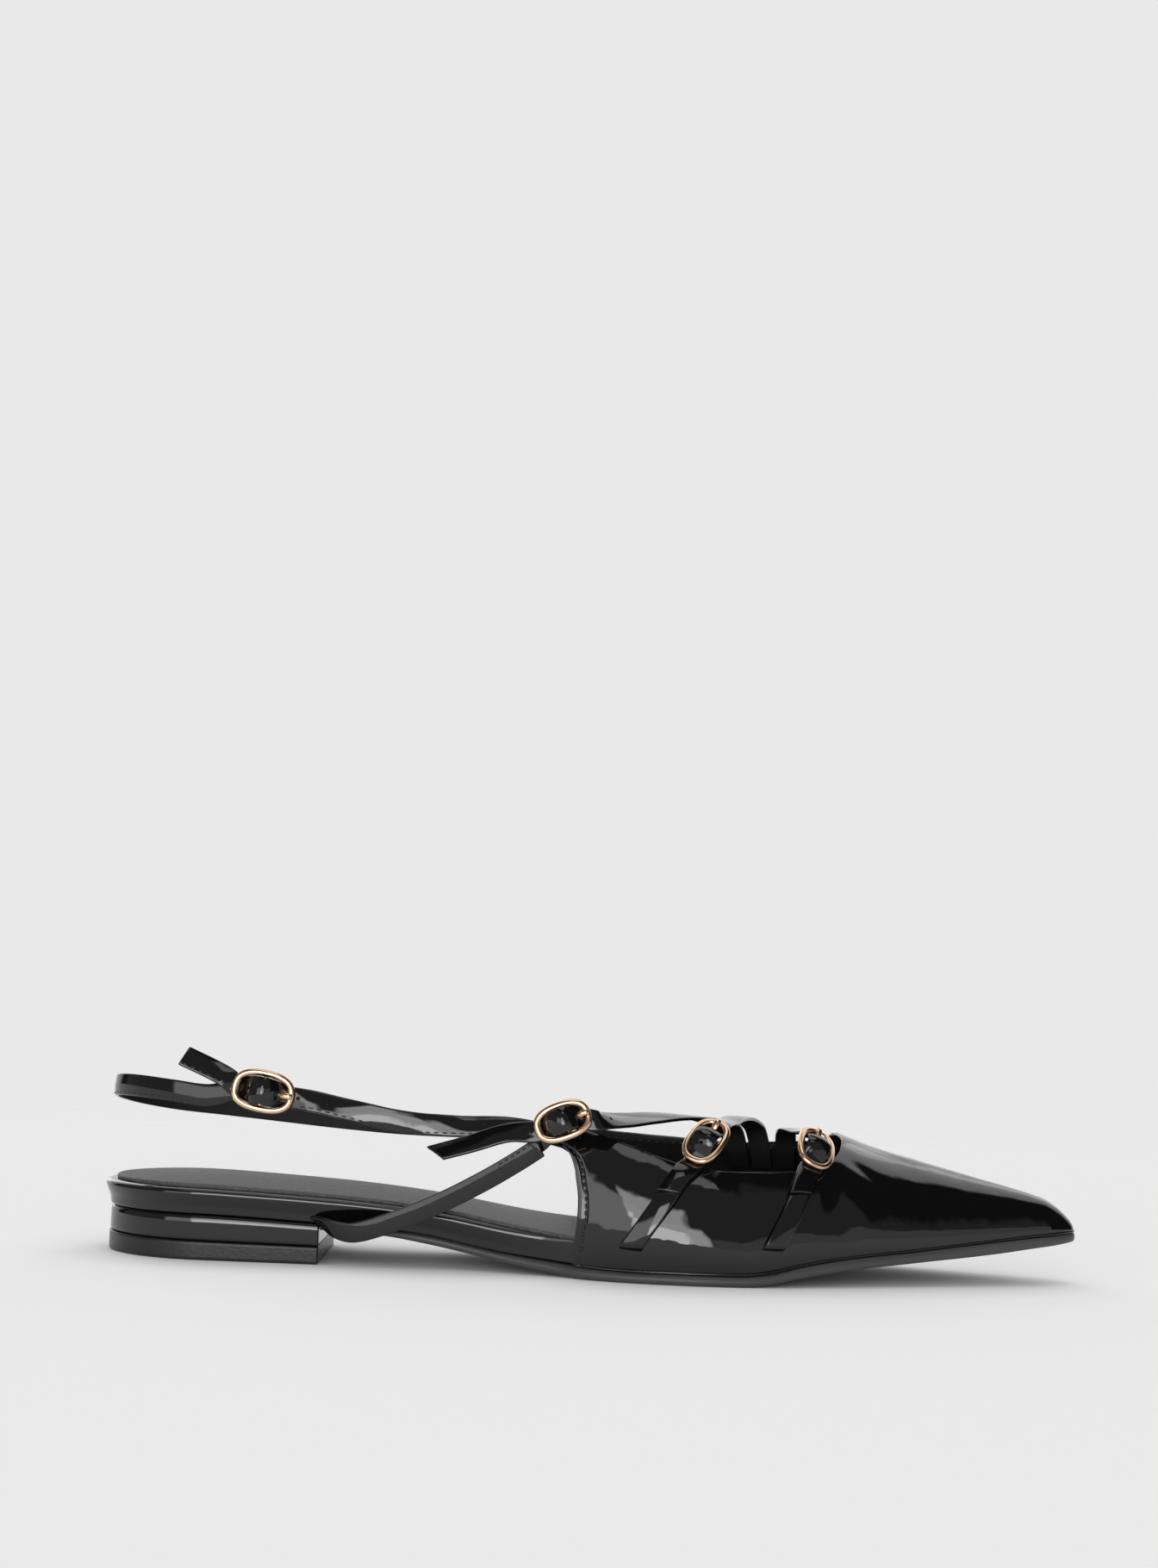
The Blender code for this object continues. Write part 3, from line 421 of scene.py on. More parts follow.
def patent(name, wave, ripple, coat_rough=0.015):
    """Black patent: a dark base under a hard clear coat that is never quite flat."""
    material, tree, shader, coords = new_material(
        name, PATENT_BLACK, 0.4, level=0.0, coat=1.0, coat_rough=coat_rough
    )
    broad = noise(tree, coords, BROAD_WAVES, 1.0, 0.4)
    middle = noise(tree, coords, MIDDLE_WAVES, 1.0, 0.5)
    fine = noise(tree, coords, FINE_WAVES, 2.0, 0.5)
    bent = bump(tree, broad, 1.0, wave * MM)
    bent = bump(tree, middle, 1.0, wave * MIDDLE_SHARE * MM, bent)
    bent = bump(tree, fine, 1.0, ripple * MM, bent)
    wire(tree, bent, shader.inputs["Normal"])
    wire(tree, bent, shader.inputs["Coat Normal"])
    return material


def grained(name, colour, roughness, scale, depth, level=0.3, mottle=0.3):
    """Matte grained leather or lining."""
    material, tree, shader, coords = new_material(name, colour, roughness, level=level)
    cells = add_node(tree, "ShaderNodeTexVoronoi", feature="SMOOTH_F1")
    cells.inputs["Scale"].default_value = scale
    wire(tree, coords, cells.inputs["Vector"])
    grain = maths(tree, "ADD", cells.outputs["Distance"], noise(tree, coords, scale * 0.7, 3.0))
    wire(tree, bump(tree, grain, GRAIN_BUMP, depth * MM), shader.inputs["Normal"])
    tone = add_node(tree, "ShaderNodeMix", data_type="RGBA")
    wire(tree, noise(tree, coords, scale * 0.9, 3.0), tone.inputs["Factor"])
    tone.inputs["A"].default_value = tuple(c * (1.0 - mottle) for c in colour) + (1.0,)
    tone.inputs["B"].default_value = tuple(c * (1.0 + mottle) for c in colour) + (1.0,)
    wire(tree, tone.outputs["Result"], shader.inputs["Base Color"])
    return material


def moulded(name, colour, roughness, scuff):
    """Semi-matte moulded rubber with faint scuffs."""
    material, tree, shader, coords = new_material(name, colour, roughness, level=0.45)
    rub = ramp(tree, noise(tree, coords, SCUFF_SCALE, 4.0, 0.65), SCUFF_FROM, SCUFF_FULL)
    tone = add_node(tree, "ShaderNodeMix", data_type="RGBA")
    wire(tree, maths(tree, "MULTIPLY", rub, scuff), tone.inputs["Factor"])
    tone.inputs["A"].default_value = tuple(colour) + (1.0,)
    tone.inputs["B"].default_value = SCUFF_TONE
    wire(tree, tone.outputs["Result"], shader.inputs["Base Color"])
    worn = ramp(tree, rub, 0.0, 1.0, roughness, roughness + SCUFF_ROUGHER)
    wire(tree, worn, shader.inputs["Roughness"])
    rough = noise(tree, coords, RUBBER_SKIN_SCALE, 3.0)
    skin_bump = bump(tree, rough, GRAIN_BUMP, RUBBER_SKIN_DEEP * MM)
    wire(tree, skin_bump, shader.inputs["Normal"])
    return material


PATENT = patent("look_patent", wave=0.26, ripple=0.005)
PLATFORM_PATENT = patent("look_platform_patent", wave=0.08, ripple=0.003)
STRAP_PATENT = patent("look_strap_patent", wave=0.12, ripple=0.004)
BLOCK_PATENT = patent("look_block_patent", wave=0.06, ripple=0.004, coat_rough=0.06)
WELT = patent("look_welt", wave=0.0, ripple=0.05, coat_rough=0.12)
LINING = grained("look_lining", (0.012, 0.012, 0.0125), 0.62, scale=900.0, depth=0.05, level=0.25)
SOCK = grained(
    "look_sock", (0.078, 0.078, 0.080), 0.55, scale=1000.0, depth=0.3, level=0.4, mottle=0.6
)
SOLE_RUBBER = moulded("look_sole_rubber", (0.055, 0.055, 0.056), 0.42, scuff=0.12)
HEEL_RUBBER = moulded("look_heel_rubber", (0.012, 0.012, 0.0125), 0.36, scuff=0.3)
THREAD = new_material("look_thread", (0.012, 0.012, 0.012), 0.3, level=0.5)[0]
GOLD = new_material("look_pale_gold", (0.74, 0.50, 0.33), 0.18, metallic=1.0)[0]


def lay(points):
    """A grid laid through an array of points, columns by rows."""
    columns, rows = points.shape[:2]
    placed = place(points)
    bm = bmesh.new()
    bmesh.ops.create_grid(bm, x_segments=columns - 1, y_segments=rows - 1, size=0.5)
    for vert in bm.verts:
        i = round((vert.co.x + 0.5) * (columns - 1))
        j = round((vert.co.y + 0.5) * (rows - 1))
        vert.co = placed[i, j]
    return bm


def weld(bm):
    bmesh.ops.remove_doubles(bm, verts=bm.verts, dist=2e-7)
    bmesh.ops.dissolve_degenerate(bm, edges=bm.edges, dist=1e-7)
    bmesh.ops.recalc_face_normals(bm, faces=bm.faces)


def add_mesh(bm, other):
    mesh = bpy.data.meshes.new("joined")
    other.to_mesh(mesh)
    other.free()
    bm.from_mesh(mesh)
    bpy.data.meshes.remove(mesh)


def piece(name, bm, slot, materials, *nodes):
    mesh = bpy.data.meshes.new(name)
    bm.to_mesh(mesh)
    bm.free()
    mesh.shade_smooth()
    for material in materials:
        mesh.materials.append(material)
    thing = bpy.data.objects.new(name, mesh)
    bpy.context.scene.collection.objects.link(thing)
    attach(thing, "root")
    if nodes:
        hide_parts(*nodes)
    return thing


EDGE_ANGLE = math.radians(60)


def thicken(thing, thickness, offset, bevel):
    """Gives a sheet its wall, lined on the inner side and rounded at the edges."""
    wall = thing.modifiers.new("wall", "SOLIDIFY")
    wall.thickness = thickness * MM
    wall.offset = offset
    wall.material_offset = 1
    edge = thing.modifiers.new("edge", "BEVEL")
    edge.width = bevel * MM
    edge.segments = 3
    edge.limit_method = "ANGLE"
    edge.angle_limit = EDGE_ANGLE
    return wall


def grid_normals(points):
    along, across = np.gradient(points, axis=0), np.gradient(points, axis=1)
    return unit(np.cross(along, across))


# Sole, heel, footbed and sock
STATION_STEP = 1.2
START_CLEAR = 0.02
END_CLEAR = 0.005
HEEL_STEPS = 45
TOE_STEPS = 24
CROSS_STEPS = 10
CURVE_STEPS = 200
UP_WEIGHT = 5.0
POINTED = 0.001
BREAST_GAP = 0.4


def stations_between(first, last):
    """Stations that crowd together towards the round heel and the toe tip."""
    heel = HEEL_ROUND * (1.0 - np.cos(np.linspace(0.0, np.pi / 2, HEEL_STEPS)))
    toe = LENGTH - TOE_ROUND * (1.0 - np.sin(np.linspace(0.0, np.pi / 2, TOE_STEPS)))
    count = int((LENGTH - TOE_ROUND - HEEL_ROUND) / STATION_STEP)
    body = np.linspace(HEEL_ROUND, LENGTH - TOE_ROUND, count)[1:-1]
    stations = np.concatenate((heel, body, toe))
    kept = stations[(stations > first + START_CLEAR) & (stations < last - END_CLEAR)]
    return np.concatenate(((first,), kept, (last,)))


def side_lines(stations, out):
    """Lateral and medial outline pushed out square to themselves, held apart at the tips."""
    lines = []
    for side in (-1.0, 1.0):
        line = np.stack((stations, foot_middle(stations) + side * half_width(stations)), -1)
        run = unit(np.gradient(line, axis=0))
        normal = np.stack((-side * run[:, 1], side * run[:, 0]), -1)
        if half_width(stations[0]) < POINTED:
            normal[0] = (-1.0, 0.0)
        if half_width(stations[-1]) < POINTED:
            normal[-1] = (1.0, 0.0)
        lines.append(line + normal * out(stations)[:, None])
    lateral, medial = lines
    crossed = lateral[:, 1] > medial[:, 1]
    middle = 0.5 * (lateral + medial)
    lateral[crossed] = middle[crossed]
    medial[crossed] = middle[crossed]
    return lateral, medial


def edge_curve(profile, count, spread):
    """Soft edge profile from its corner points: way up, how far out."""
    profile = np.array(profile, float)
    steps = np.linalg.norm(np.diff(profile * (UP_WEIGHT, 1.0), axis=0), axis=1)
    walk = np.concatenate(((0.0,), np.cumsum(steps))) / steps.sum()
    even = np.linspace(0.0, 1.0, CURVE_STEPS)
    dense = np.stack([np.interp(even, walk, column) for column in profile.T], -1)
    dense = soften(dense, spread * CURVE_STEPS)
    pick = np.linspace(0.0, CURVE_STEPS - 1.0, count)
    return np.stack([np.interp(pick, np.arange(CURVE_STEPS), column) for column in dense.T], -1)


def slab(name, stations, profile, out, low, high, slot, material, node, crown=0.0):
    """Flat piece of the sole lofted from cross sections: up one edge, over, down the other."""
    lateral_rings, medial_rings = [], []
    for share, push in profile:
        lateral, medial = side_lines(stations, lambda s: out(s, push))
        z = low(stations) + (high(stations) - low(stations)) * share
        lateral_rings.append(np.column_stack((lateral, z)))
        medial_rings.append(np.column_stack((medial, z)))
    part = np.linspace(0.0, 1.0, CROSS_STEPS + 1)[1:-1]
    columns = list(lateral_rings)
    for t in part:
        over = lateral_rings[-1] * (1.0 - t) + medial_rings[-1] * t
        over[:, 2] += crown * 4.0 * t * (1.0 - t)
        columns.append(over)
    columns += list(reversed(medial_rings))
    for t in part:
        columns.append(medial_rings[0] * (1.0 - t) + lateral_rings[0] * t)
    columns.append(lateral_rings[0])
    bm = lay(np.stack(columns, 1))
    across = np.linspace(0.0, 1.0, CROSS_STEPS + 1)[:, None]
    for end in (0, -1):
        if half_width(stations[end]) > POINTED:
            pairs = zip(lateral_rings, medial_rings)
            cap = [a[end] * (1.0 - across) + b[end] * across for a, b in pairs]
            add_mesh(bm, lay(np.stack(cap)))
    weld(bm)
    return piece(name, bm, slot, [material], node)


HEEL_STATIONS = stations_between(0.0, BREAST_S)
FULL_STATIONS = stations_between(0.0, LENGTH)
SOLE_STATIONS = stations_between(BREAST_S + BREAST_GAP, LENGTH)

# Edge profiles of the layers: share of the way up, millimetres out
TOP_PIECE_EDGE = ((0.0, -0.45), (0.03, -0.1), (0.09, 0.1), (0.92, 0.15), (0.98, 0.05), (1.0, -0.3))
BLOCK_EDGE = (
    (0.0, -0.3), (0.03, -0.05), (0.08, 0.0), (0.78, -0.1),
    (0.9, -0.3), (0.97, -0.75), (1.0, -1.4),
)
OUTSOLE_EDGE = (
    (0.0, -1.3), (0.1, -0.6), (0.28, -0.12), (0.5, 0.0),
    (0.72, -0.12), (0.88, -0.45), (0.96, -0.8), (1.0, -1.2),
)
FOOTBED_EDGE = ((0.0, 0.0), (0.3, 0.25), (0.55, 0.95), (0.78, 1.5), (0.9, 1.3), (0.97, 0.6), (1.0, -0.4))
SOCK_EDGE = ((0.0, -0.15), (0.5, 0.0), (0.8, -0.12), (0.95, -0.5), (1.0, -1.1))
UPRIGHT_S = 205.0
UPRIGHT_RUN = 50.0
UPRIGHT_SHARE = 0.7
SOCK_LIFT = 0.02
SOCK_SINK = 0.25
SOCK_CROWN = 0.25
SOCK_INSET_LEAST = 0.4
SOCK_INSET_ROLL = 0.3


def edge_share(s):
    """How round the outsole edge is: full under the forefoot, nearly upright at the toe."""
    part = np.clip((s - UPRIGHT_S) / UPRIGHT_RUN, 0.0, 1.0)
    return 1.0 - UPRIGHT_SHARE * part * part * (3.0 - 2.0 * part)


def sock_out(s, push):
    """How far the sock's edge stands out; it lies further in where the footbed's edge rolls out."""
    inset = SOCK_INSET * (SOCK_INSET_LEAST + SOCK_INSET_ROLL * FOOTBED(s, "roll"))
    return push - FOOTBED(s, "inset") - inset


def heel_line(s):
    return TOP_PIECE_BACK_Z + (TOP_PIECE_FRONT_Z - TOP_PIECE_BACK_Z) * s / BREAST_S


slab(
    "heel_top_piece_look", HEEL_STATIONS, edge_curve(TOP_PIECE_EDGE, count=15, spread=0.012),
    lambda s, push: push + 0.0 * s,
    lambda s: GROUND_Z + 0.0 * s,
    lambda s: heel_line(s) - SEAM_GAP / 2,
    "heel_rubber", HEEL_RUBBER, "heel_top_piece",
)
slab(
    "heel_block_look", HEEL_STATIONS, edge_curve(BLOCK_EDGE, count=19, spread=0.02),
    lambda s, push: push + 0.0 * s,
    lambda s: heel_line(s) + SEAM_GAP / 2,
    lambda s: SOLE(s, "seat") - SEAM_GAP / 2,
    "block_patent", BLOCK_PATENT, "heel_block",
)
slab(
    "outsole_look", SOLE_STATIONS, edge_curve(OUTSOLE_EDGE, count=17, spread=0.03),
    lambda s, push: SOLE(s, "flare") + push * edge_share(s),
    lambda s: SOLE(s, "under"),
    lambda s: SOLE(s, "seat") - SEAM_GAP / 2,
    "sole_rubber", SOLE_RUBBER, "outsole",
)
slab(
    "footbed_look", FULL_STATIONS, edge_curve(FOOTBED_EDGE, count=25, spread=0.03),
    lambda s, push: FOOTBED(s, "roll") * push - FOOTBED(s, "inset"),
    lambda s: SOLE(s, "seat") + SEAM_GAP / 2,
    lambda s: FOOTBED(s, "top"),
    "patent", PLATFORM_PATENT, "footbed",
)
slab(
    "insole_sock_look", FULL_STATIONS, edge_curve(SOCK_EDGE, count=11, spread=0.03),
    sock_out,
    lambda s: FOOTBED(s, "top") + SOCK_LIFT,
    lambda s: FOOTBED(s, "top") + SEAM_GAP + SOCK_THICK - SOCK_SINK,
    "sock_lining", SOCK, "insole_sock", SOCK_CROWN,
)

# Vamp with its creases on the lateral side: from, to (station, height), depth, half width
CREASES = (
    (203.5, 34.0, 203.0, 20.0, 0.35, 2.6),
    (199.5, 31.0, 197.5, 20.0, -0.3, 2.4),
    (208.0, 27.0, 213.0, 18.0, -0.3, 3.2),
    (196.0, 20.0, 208.0, 15.0, 0.3, 3.0),
    (206.0, 35.0, 217.7, 26.9, 0.3, 1.4),
    (209.5, 37.9, 229.6, 31.6, 0.13, 0.3),
    (233.7, 31.2, 246.9, 27.7, 0.08, 0.22),
    (168.0, 29.0, 176.0, 22.0, -0.40, 3.5),
    (176.0, 28.0, 186.0, 20.0, 0.45, 4.0),
    (150.0, 33.0, 158.0, 24.0, 0.30, 3.0),
    (140.0, 30.0, 146.0, 18.0, -0.35, 4.5),
    (165.0, 18.0, 182.0, 14.0, 0.25, 3.0),
)
VAMP_COLUMNS = 300
VAMP_ROWS = 72
EDGE_COLUMNS = 36
EDGE_SHARE = 0.035
STITCH_IN = 2.3
PAST_MIDDLE = 2.0
CREASE_START = 0.12
VAMP_HEART = (200.0, 0.0, 14.0)
PROBE = (80, 30)
TROUGH_DEEP = 0.3
TROUGH_WIDE = 0.5
EDGE_SWELL = 0.10
SWELL_IN = 0.9
SWELL_WIDE = 0.7
RIM_BEVEL = 0.45
RIM_THIN = 0.5
RIM_RUN = 2.2


def crease_depth(points):
    """How far each vamp point is pushed in by the creases, minus where one stands out."""
    total = np.zeros(points.shape[:2])
    lateral = points[..., 1] < foot_middle(points[..., 0]) + PAST_MIDDLE
    for s0, z0, s1, z1, depth, wide in CREASES:
        run = np.array((s1 - s0, z1 - z0))
        rel = points[..., (0, 2)] - (s0, z0)
        along = np.clip(rel @ run / (run @ run), 0.0, 1.0)
        away = np.linalg.norm(rel - along[..., None] * run, axis=-1)
        fade = np.sin(np.pi * (CREASE_START + (1.0 - 2.0 * CREASE_START) * along))
        total = total + depth * fade * np.exp(-((away / wide) ** 2))
    return total * lateral


def vamp_points():
    """Grid of the vamp with creases, stitch troughs and rolled wing edges, and its normals."""
    rear = np.linspace(0.0, EDGE_SHARE, EDGE_COLUMNS, False)
    body = np.linspace(EDGE_SHARE, 1.0 - EDGE_SHARE, VAMP_COLUMNS)
    u = np.concatenate((rear, body, 1.0 - rear[::-1]))
    v = np.linspace(0.0, 1.0, VAMP_ROWS + 1)
    points = vamp_skin(*np.meshgrid(u, v, indexing="ij"))
    normals = grid_normals(points)
    if normals[PROBE] @ (points[PROBE] - VAMP_HEART) < 0.0:
        normals = -normals
    depth = crease_depth(points)
    for way in (1, -1):
        away = np.cumsum(np.linalg.norm(np.diff(points[::way], axis=0), axis=-1), axis=0)
        away = np.concatenate((np.zeros((1, VAMP_ROWS + 1)), away))[::way]
        depth = depth + TROUGH_DEEP * np.exp(-(((away - STITCH_IN) / TROUGH_WIDE) ** 2))
        depth = depth - EDGE_SWELL * np.exp(-(((away - SWELL_IN) / SWELL_WIDE) ** 2))
    return points - normals * depth[..., None], normals


VAMP_POINTS, VAMP_NORMALS = vamp_points()


def wall_shares():
    """Share of the full wall at each vamp point: thin at the collar's rim, full a little below."""
    steps = np.linalg.norm(np.diff(VAMP_POINTS[:, ::-1], axis=1), axis=-1)
    down = np.pad(np.cumsum(steps, axis=1), ((0, 0), (1, 0)))[:, ::-1]
    return np.clip(RIM_THIN + (1.0 - RIM_THIN) * down / RIM_RUN, RIM_THIN, 1.0)


def make_vamp():
    bm = lay(VAMP_POINTS)
    bm.normal_update()
    bm.verts.ensure_lookup_table()
    near = min(bm.verts, key=lambda vert: (vert.co - Vector(place(VAMP_POINTS[PROBE]))).length)
    if near.normal.dot(Vector(VAMP_NORMALS[PROBE])) < 0.0:
        bmesh.ops.reverse_faces(bm, faces=bm.faces)
    thing = piece("vamp_look", bm, "patent", [PATENT, LINING], "vamp")
    group = thing.vertex_groups.new(name="wall")
    for index, weight in enumerate(wall_shares().T.ravel()):
        group.add([index], float(weight), "REPLACE")
    thicken(thing, UPPER_WALL, -1.0, RIM_BEVEL).vertex_group = group.name


make_vamp()


class Buckle:
    """Oval frame with a centre bar; long axis to the prong end, outward axis off the foot."""

    def __init__(self, centre, long_axis, outward, share):
        self.share = share
        self.centre = np.array(centre, float)
        self.long = unit(long_axis)
        out = np.array(outward, float)
        self.out = unit(out - self.long * (out @ self.long))
        self.cross = np.cross(self.out, self.long)

    def spot(self, a, n, b=0.0):
        return self.centre + self.long * a + self.cross * b + self.out * n


# Where straps lie: on the vamp, inside its lining, and round and through the buckles
SKIN_CLEAR = 0.25
LINING_CLEAR = 0.3
ON_SKIN = SEAM_GAP + SKIN_CLEAR + STRAP_THICK / 2
TURNED_ON_SKIN = ON_SKIN + 0.15
INSIDE = -UPPER_WALL - SEAM_GAP - LINING_CLEAR - STRAP_THICK / 2
COLLAR_INSIDE = INSIDE + 0.4
FRAME_A = BUCKLE_LONG / 2 - BUCKLE_WIRE
FRAME_B = BUCKLE_WIDE / 2 - BUCKLE_WIRE
UNDER_FRAME = BUCKLE_WIRE + METAL_GAP + STRAP_THICK / 2
LOOP_RADIUS = BAR_RADIUS + METAL_GAP + STRAP_THICK / 2
OVER_BAR = LOOP_RADIUS + STRAP_THICK + METAL_GAP - BAR_DROP
HOLD_UNDER = UNDER_FRAME + STRAP_THICK + METAL_GAP
THROUGH_PARTS = (1.0, 0.75, 0.5, 0.25, 0.0, -0.25, -0.5, -0.75, -1.0)
IN_FRAME = 0.6
RISE_SHARE = 0.86
SWING_FROM = 0.5
LOOP_TURNS = (-90, -45, 0, 45, 90, 125)
LOOP_END = (-2.5, -0.75)

SLING = Buckle((44.7, -28.8, 47.8), (0.98, -0.03, -0.17), (-0.03, -1.0, 0.16), 1.03)
INSTEP = Buckle((127.7, -39.2, 43.6), (0.92, 0.08, 0.37), (0.0, -1.0, 0.28), 0.93)
REAR = Buckle((166.9, -29.3, 39.0), (0.46, 0.60, 0.66), (-0.05, -0.75, 0.66), 0.93)
FRONT = Buckle((197.3, -20.2, 37.5), (0.08, 0.84, 0.53), (0.42, -0.46, 0.78), 0.96)


def free_row(s, y, z, turn, lift, width=STRAP_WIDE):
    """Strap point given directly; turn swings its face to the heel, lift swings it up and over."""
    t, u = math.radians(turn), math.radians(lift)
    normal = np.array((-math.sin(t) * math.cos(u), -math.cos(t) * math.cos(u), math.sin(u)))
    return (np.array((s, y, z), float), normal, width)


def skin_row(s, z, side, off, width=STRAP_SLIM, swing=0.0):
    """Strap point on the vamp's skin; swing turns its face to the heel."""
    turn = turn_at(s, z, side)
    normal = skin_normal(s, turn)
    face = Matrix.Rotation(math.radians(-swing), 3, "Z") @ Vector(normal)
    return (skin(s, turn) + normal * off, np.array(face), width)


def buckle_row(buckle, a, n, width=STRAP_WIDE, b=0.0):
    return (buckle.spot(a, n, b), buckle.out.copy(), width)


def through_rows(buckle, swing=0.0):
    """Free strap through a buckle: under the prong end, over the bar, under the far end."""
    rows = []
    for part in THROUGH_PARTS:
        away = min(abs(part) / RISE_SHARE, 1.0)
        lift = (UNDER_FRAME + OVER_BAR) * math.cos(math.pi / 2 * away) ** 2 - UNDER_FRAME
        aside = swing * max(part - SWING_FROM, 0.0) / SWING_FROM
        wide = THROUGH_WIDE * buckle.share if abs(part) < IN_FRAME else STRAP_WIDE
        rows.append(buckle_row(buckle, part * FRAME_A, lift, wide, aside))
    return rows


def loop_rows(buckle):
    """End of a holding strap round the bar, coming in below and ending above."""
    rows = []
    for degrees in LOOP_TURNS:
        angle = math.radians(degrees)
        spoke = buckle.long * math.cos(angle) + buckle.out * math.sin(angle)
        rows.append((buckle.spot(0.0, -BAR_DROP) + spoke * LOOP_RADIUS, -spoke, TAB_WIDE))
    rows.append((buckle.spot(*LOOP_END), -buckle.out, TAB_WIDE))
    return rows


STRAP_STEP = 0.6
STRAP_ACROSS = 10
SLANT_RUN = 6.0
FINE_STEPS = 24
POINT_SPREAD = 0.9
WIDTH_SPREAD = 1.5
FACE_SPREAD = 1.2


class Strap:
    """Even, soft samples along listed rows, with frames to lay things on the strap."""

    def __init__(self, rows, end_slant=0.0):
        points = np.array([row[0] for row in rows])
        normals = np.array([row[1] for row in rows])
        widths = np.array([row[2] for row in rows])
        parts = np.linspace(0, 1, FINE_STEPS, False)
        fine = [self.between(points, i, t) for i in range(len(rows) - 1) for t in parts]
        fine = np.array(fine + [points[-1]])
        rank = np.linspace(0.0, len(rows) - 1.0, len(fine))
        walk = np.concatenate(((0.0,), np.cumsum(np.linalg.norm(np.diff(fine, axis=0), axis=1))))
        count = int(walk[-1] / STRAP_STEP) + 1
        even = np.linspace(0.0, walk[-1], count)
        where = np.interp(even, walk, rank)
        step = even[1]
        self.walk = even
        self.points = soften(self.read(even, walk, fine), POINT_SPREAD / step)
        self.widths = soften(np.interp(where, np.arange(len(rows)), widths), WIDTH_SPREAD / step)
        self.ahead = unit(np.gradient(self.points, axis=0))
        face = soften(self.read(where, np.arange(len(rows)), normals), FACE_SPREAD / step)
        face = face - self.ahead * (face * self.ahead).sum(1, keepdims=True)
        self.face = unit(face)
        self.sideways = np.cross(self.face, self.ahead)
        self.end_slant = end_slant

    @staticmethod
    def between(points, i, t):
        before, start = points[max(i - 1, 0)], points[i]
        end, after = points[i + 1], points[min(i + 2, len(points) - 1)]
        span = np.linalg.norm(end - start)
        lead = (end - before) * span / max(span + np.linalg.norm(start - before), 1e-6)
        trail = (after - start) * span / max(np.linalg.norm(after - end) + span, 1e-6)
        spot = (2 * t**3 - 3 * t**2 + 1) * start + (t**3 - 2 * t**2 + t) * lead
        return spot + (3 * t**2 - 2 * t**3) * end + (t**3 - t**2) * trail

    @staticmethod
    def read(at, keys, values):
        return np.stack([np.interp(at, keys, column) for column in values.T], -1)

    def on(self, walked, across, off):
        """Points on the strap: millimetres along it, share across it, millimetres off it."""
        walked, across = np.asarray(walked, float), np.asarray(across, float)
        point = self.read(walked, self.walk, self.points)
        ahead = self.read(walked, self.walk, self.ahead)
        face = self.read(walked, self.walk, self.face)
        side = self.read(walked, self.walk, self.sideways)
        width = np.interp(walked, self.walk, self.widths)
        slant = self.end_slant * np.clip(1.0 - (self.walk[-1] - walked) / SLANT_RUN, 0.0, 1.0)
        point = point + side * ((across - 0.5) * width)[..., None]
        point = point + ahead * (slant * (across - 0.5))[..., None]
        return point + face * np.asarray(off, float)[..., None]

    def nearest(self, s, z):
        """Way along the strap to the sample nearest a station and height in side view."""
        return self.walk[np.argmin(np.hypot(self.points[:, 0] - s, self.points[:, 2] - z))]


CROWN = 0.3
HUMP = 0.6
HUMP_RUN = 4.2
DIVE = ON_SKIN + 1.3
DIVE_RUN = 2.0
STRAP_BEVEL = 0.36


def make_strap(name, strap, buckle, sink):
    """Crowned strap with thickness; it swells over a buckle bar, or sinks into the vamp."""
    across = np.linspace(0.0, 1.0, STRAP_ACROSS + 1)
    walked, share = np.meshgrid(strap.walk, across, indexing="ij")
    high = np.full(len(strap.walk), CROWN)
    if buckle is not None:
        away = np.linalg.norm(strap.points - buckle.spot(0.0, OVER_BAR), axis=1)
        high = high + HUMP * np.exp(-((away / HUMP_RUN) ** 2))
    crown = high[:, None] * (1.0 - (2.0 * share - 1.0) ** 2)
    rows = [strap.on(walked[:, j], share[:, j], crown[:, j]) for j in range(STRAP_ACROSS + 1)]
    points = np.stack(rows, 1)
    if sink is not None:
        sunk = 1.0 - np.clip((points[..., 2] - sink + DIVE_RUN / 2) / DIVE_RUN, 0.0, 1.0)
        points = points - strap.face[:, None, :] * (DIVE * sunk * sunk * (3.0 - 2.0 * sunk))[..., None]
    bm = lay(points)
    bm.normal_update()
    bm.faces.ensure_lookup_table()
    middle = len(strap.walk) // 2
    spot = Vector(place(strap.points[middle]))
    face = min(bm.faces, key=lambda f: (f.calc_center_median() - spot).length)
    if face.normal.dot(Vector(strap.face[middle])) < 0.0:
        bmesh.ops.reverse_faces(bm, faces=bm.faces)
    thing = piece(name + "_look", bm, "strap_patent", [STRAP_PATENT, LINING], name)
    thicken(thing, STRAP_THICK, 0.0, STRAP_BEVEL)
    return thing


# Sling strap, lateral run
sling_front = [
    skin_row(138.0, 36.6, -1, INSIDE, 5.0),
    skin_row(129.5, 38.4, -1, INSIDE, 5.2),
    skin_row(121.5, 40.0, -1, INSIDE, STRAP_SLIM),
    free_row(112.0, -26.6, 40.4, 0, 22),
    free_row(100.0, -27.0, 40.2, 1, 24),
    free_row(94.0, -27.2, 40.3, 2, 16),
    free_row(88.0, -27.4, 40.5, 3, 7),
    free_row(80.0, -27.6, 41.4, 3, 5),
    free_row(74.0, -27.6, 42.5, 3, 8),
    free_row(66.0, -27.5, 44.0, 2, 19),
    free_row(58.0, -27.7, 45.6, 1, 21),
]
sling_front += through_rows(SLING)
sling_front += [
    free_row(34.9, -27.1, 50.8, 4, 30),
    free_row(31.4, -26.5, 52.6, 4, 30),
    free_row(22.2, -26.6, 56.6, 6, 28),
]
SLING_FRONT = Strap(sling_front, end_slant=0.6)

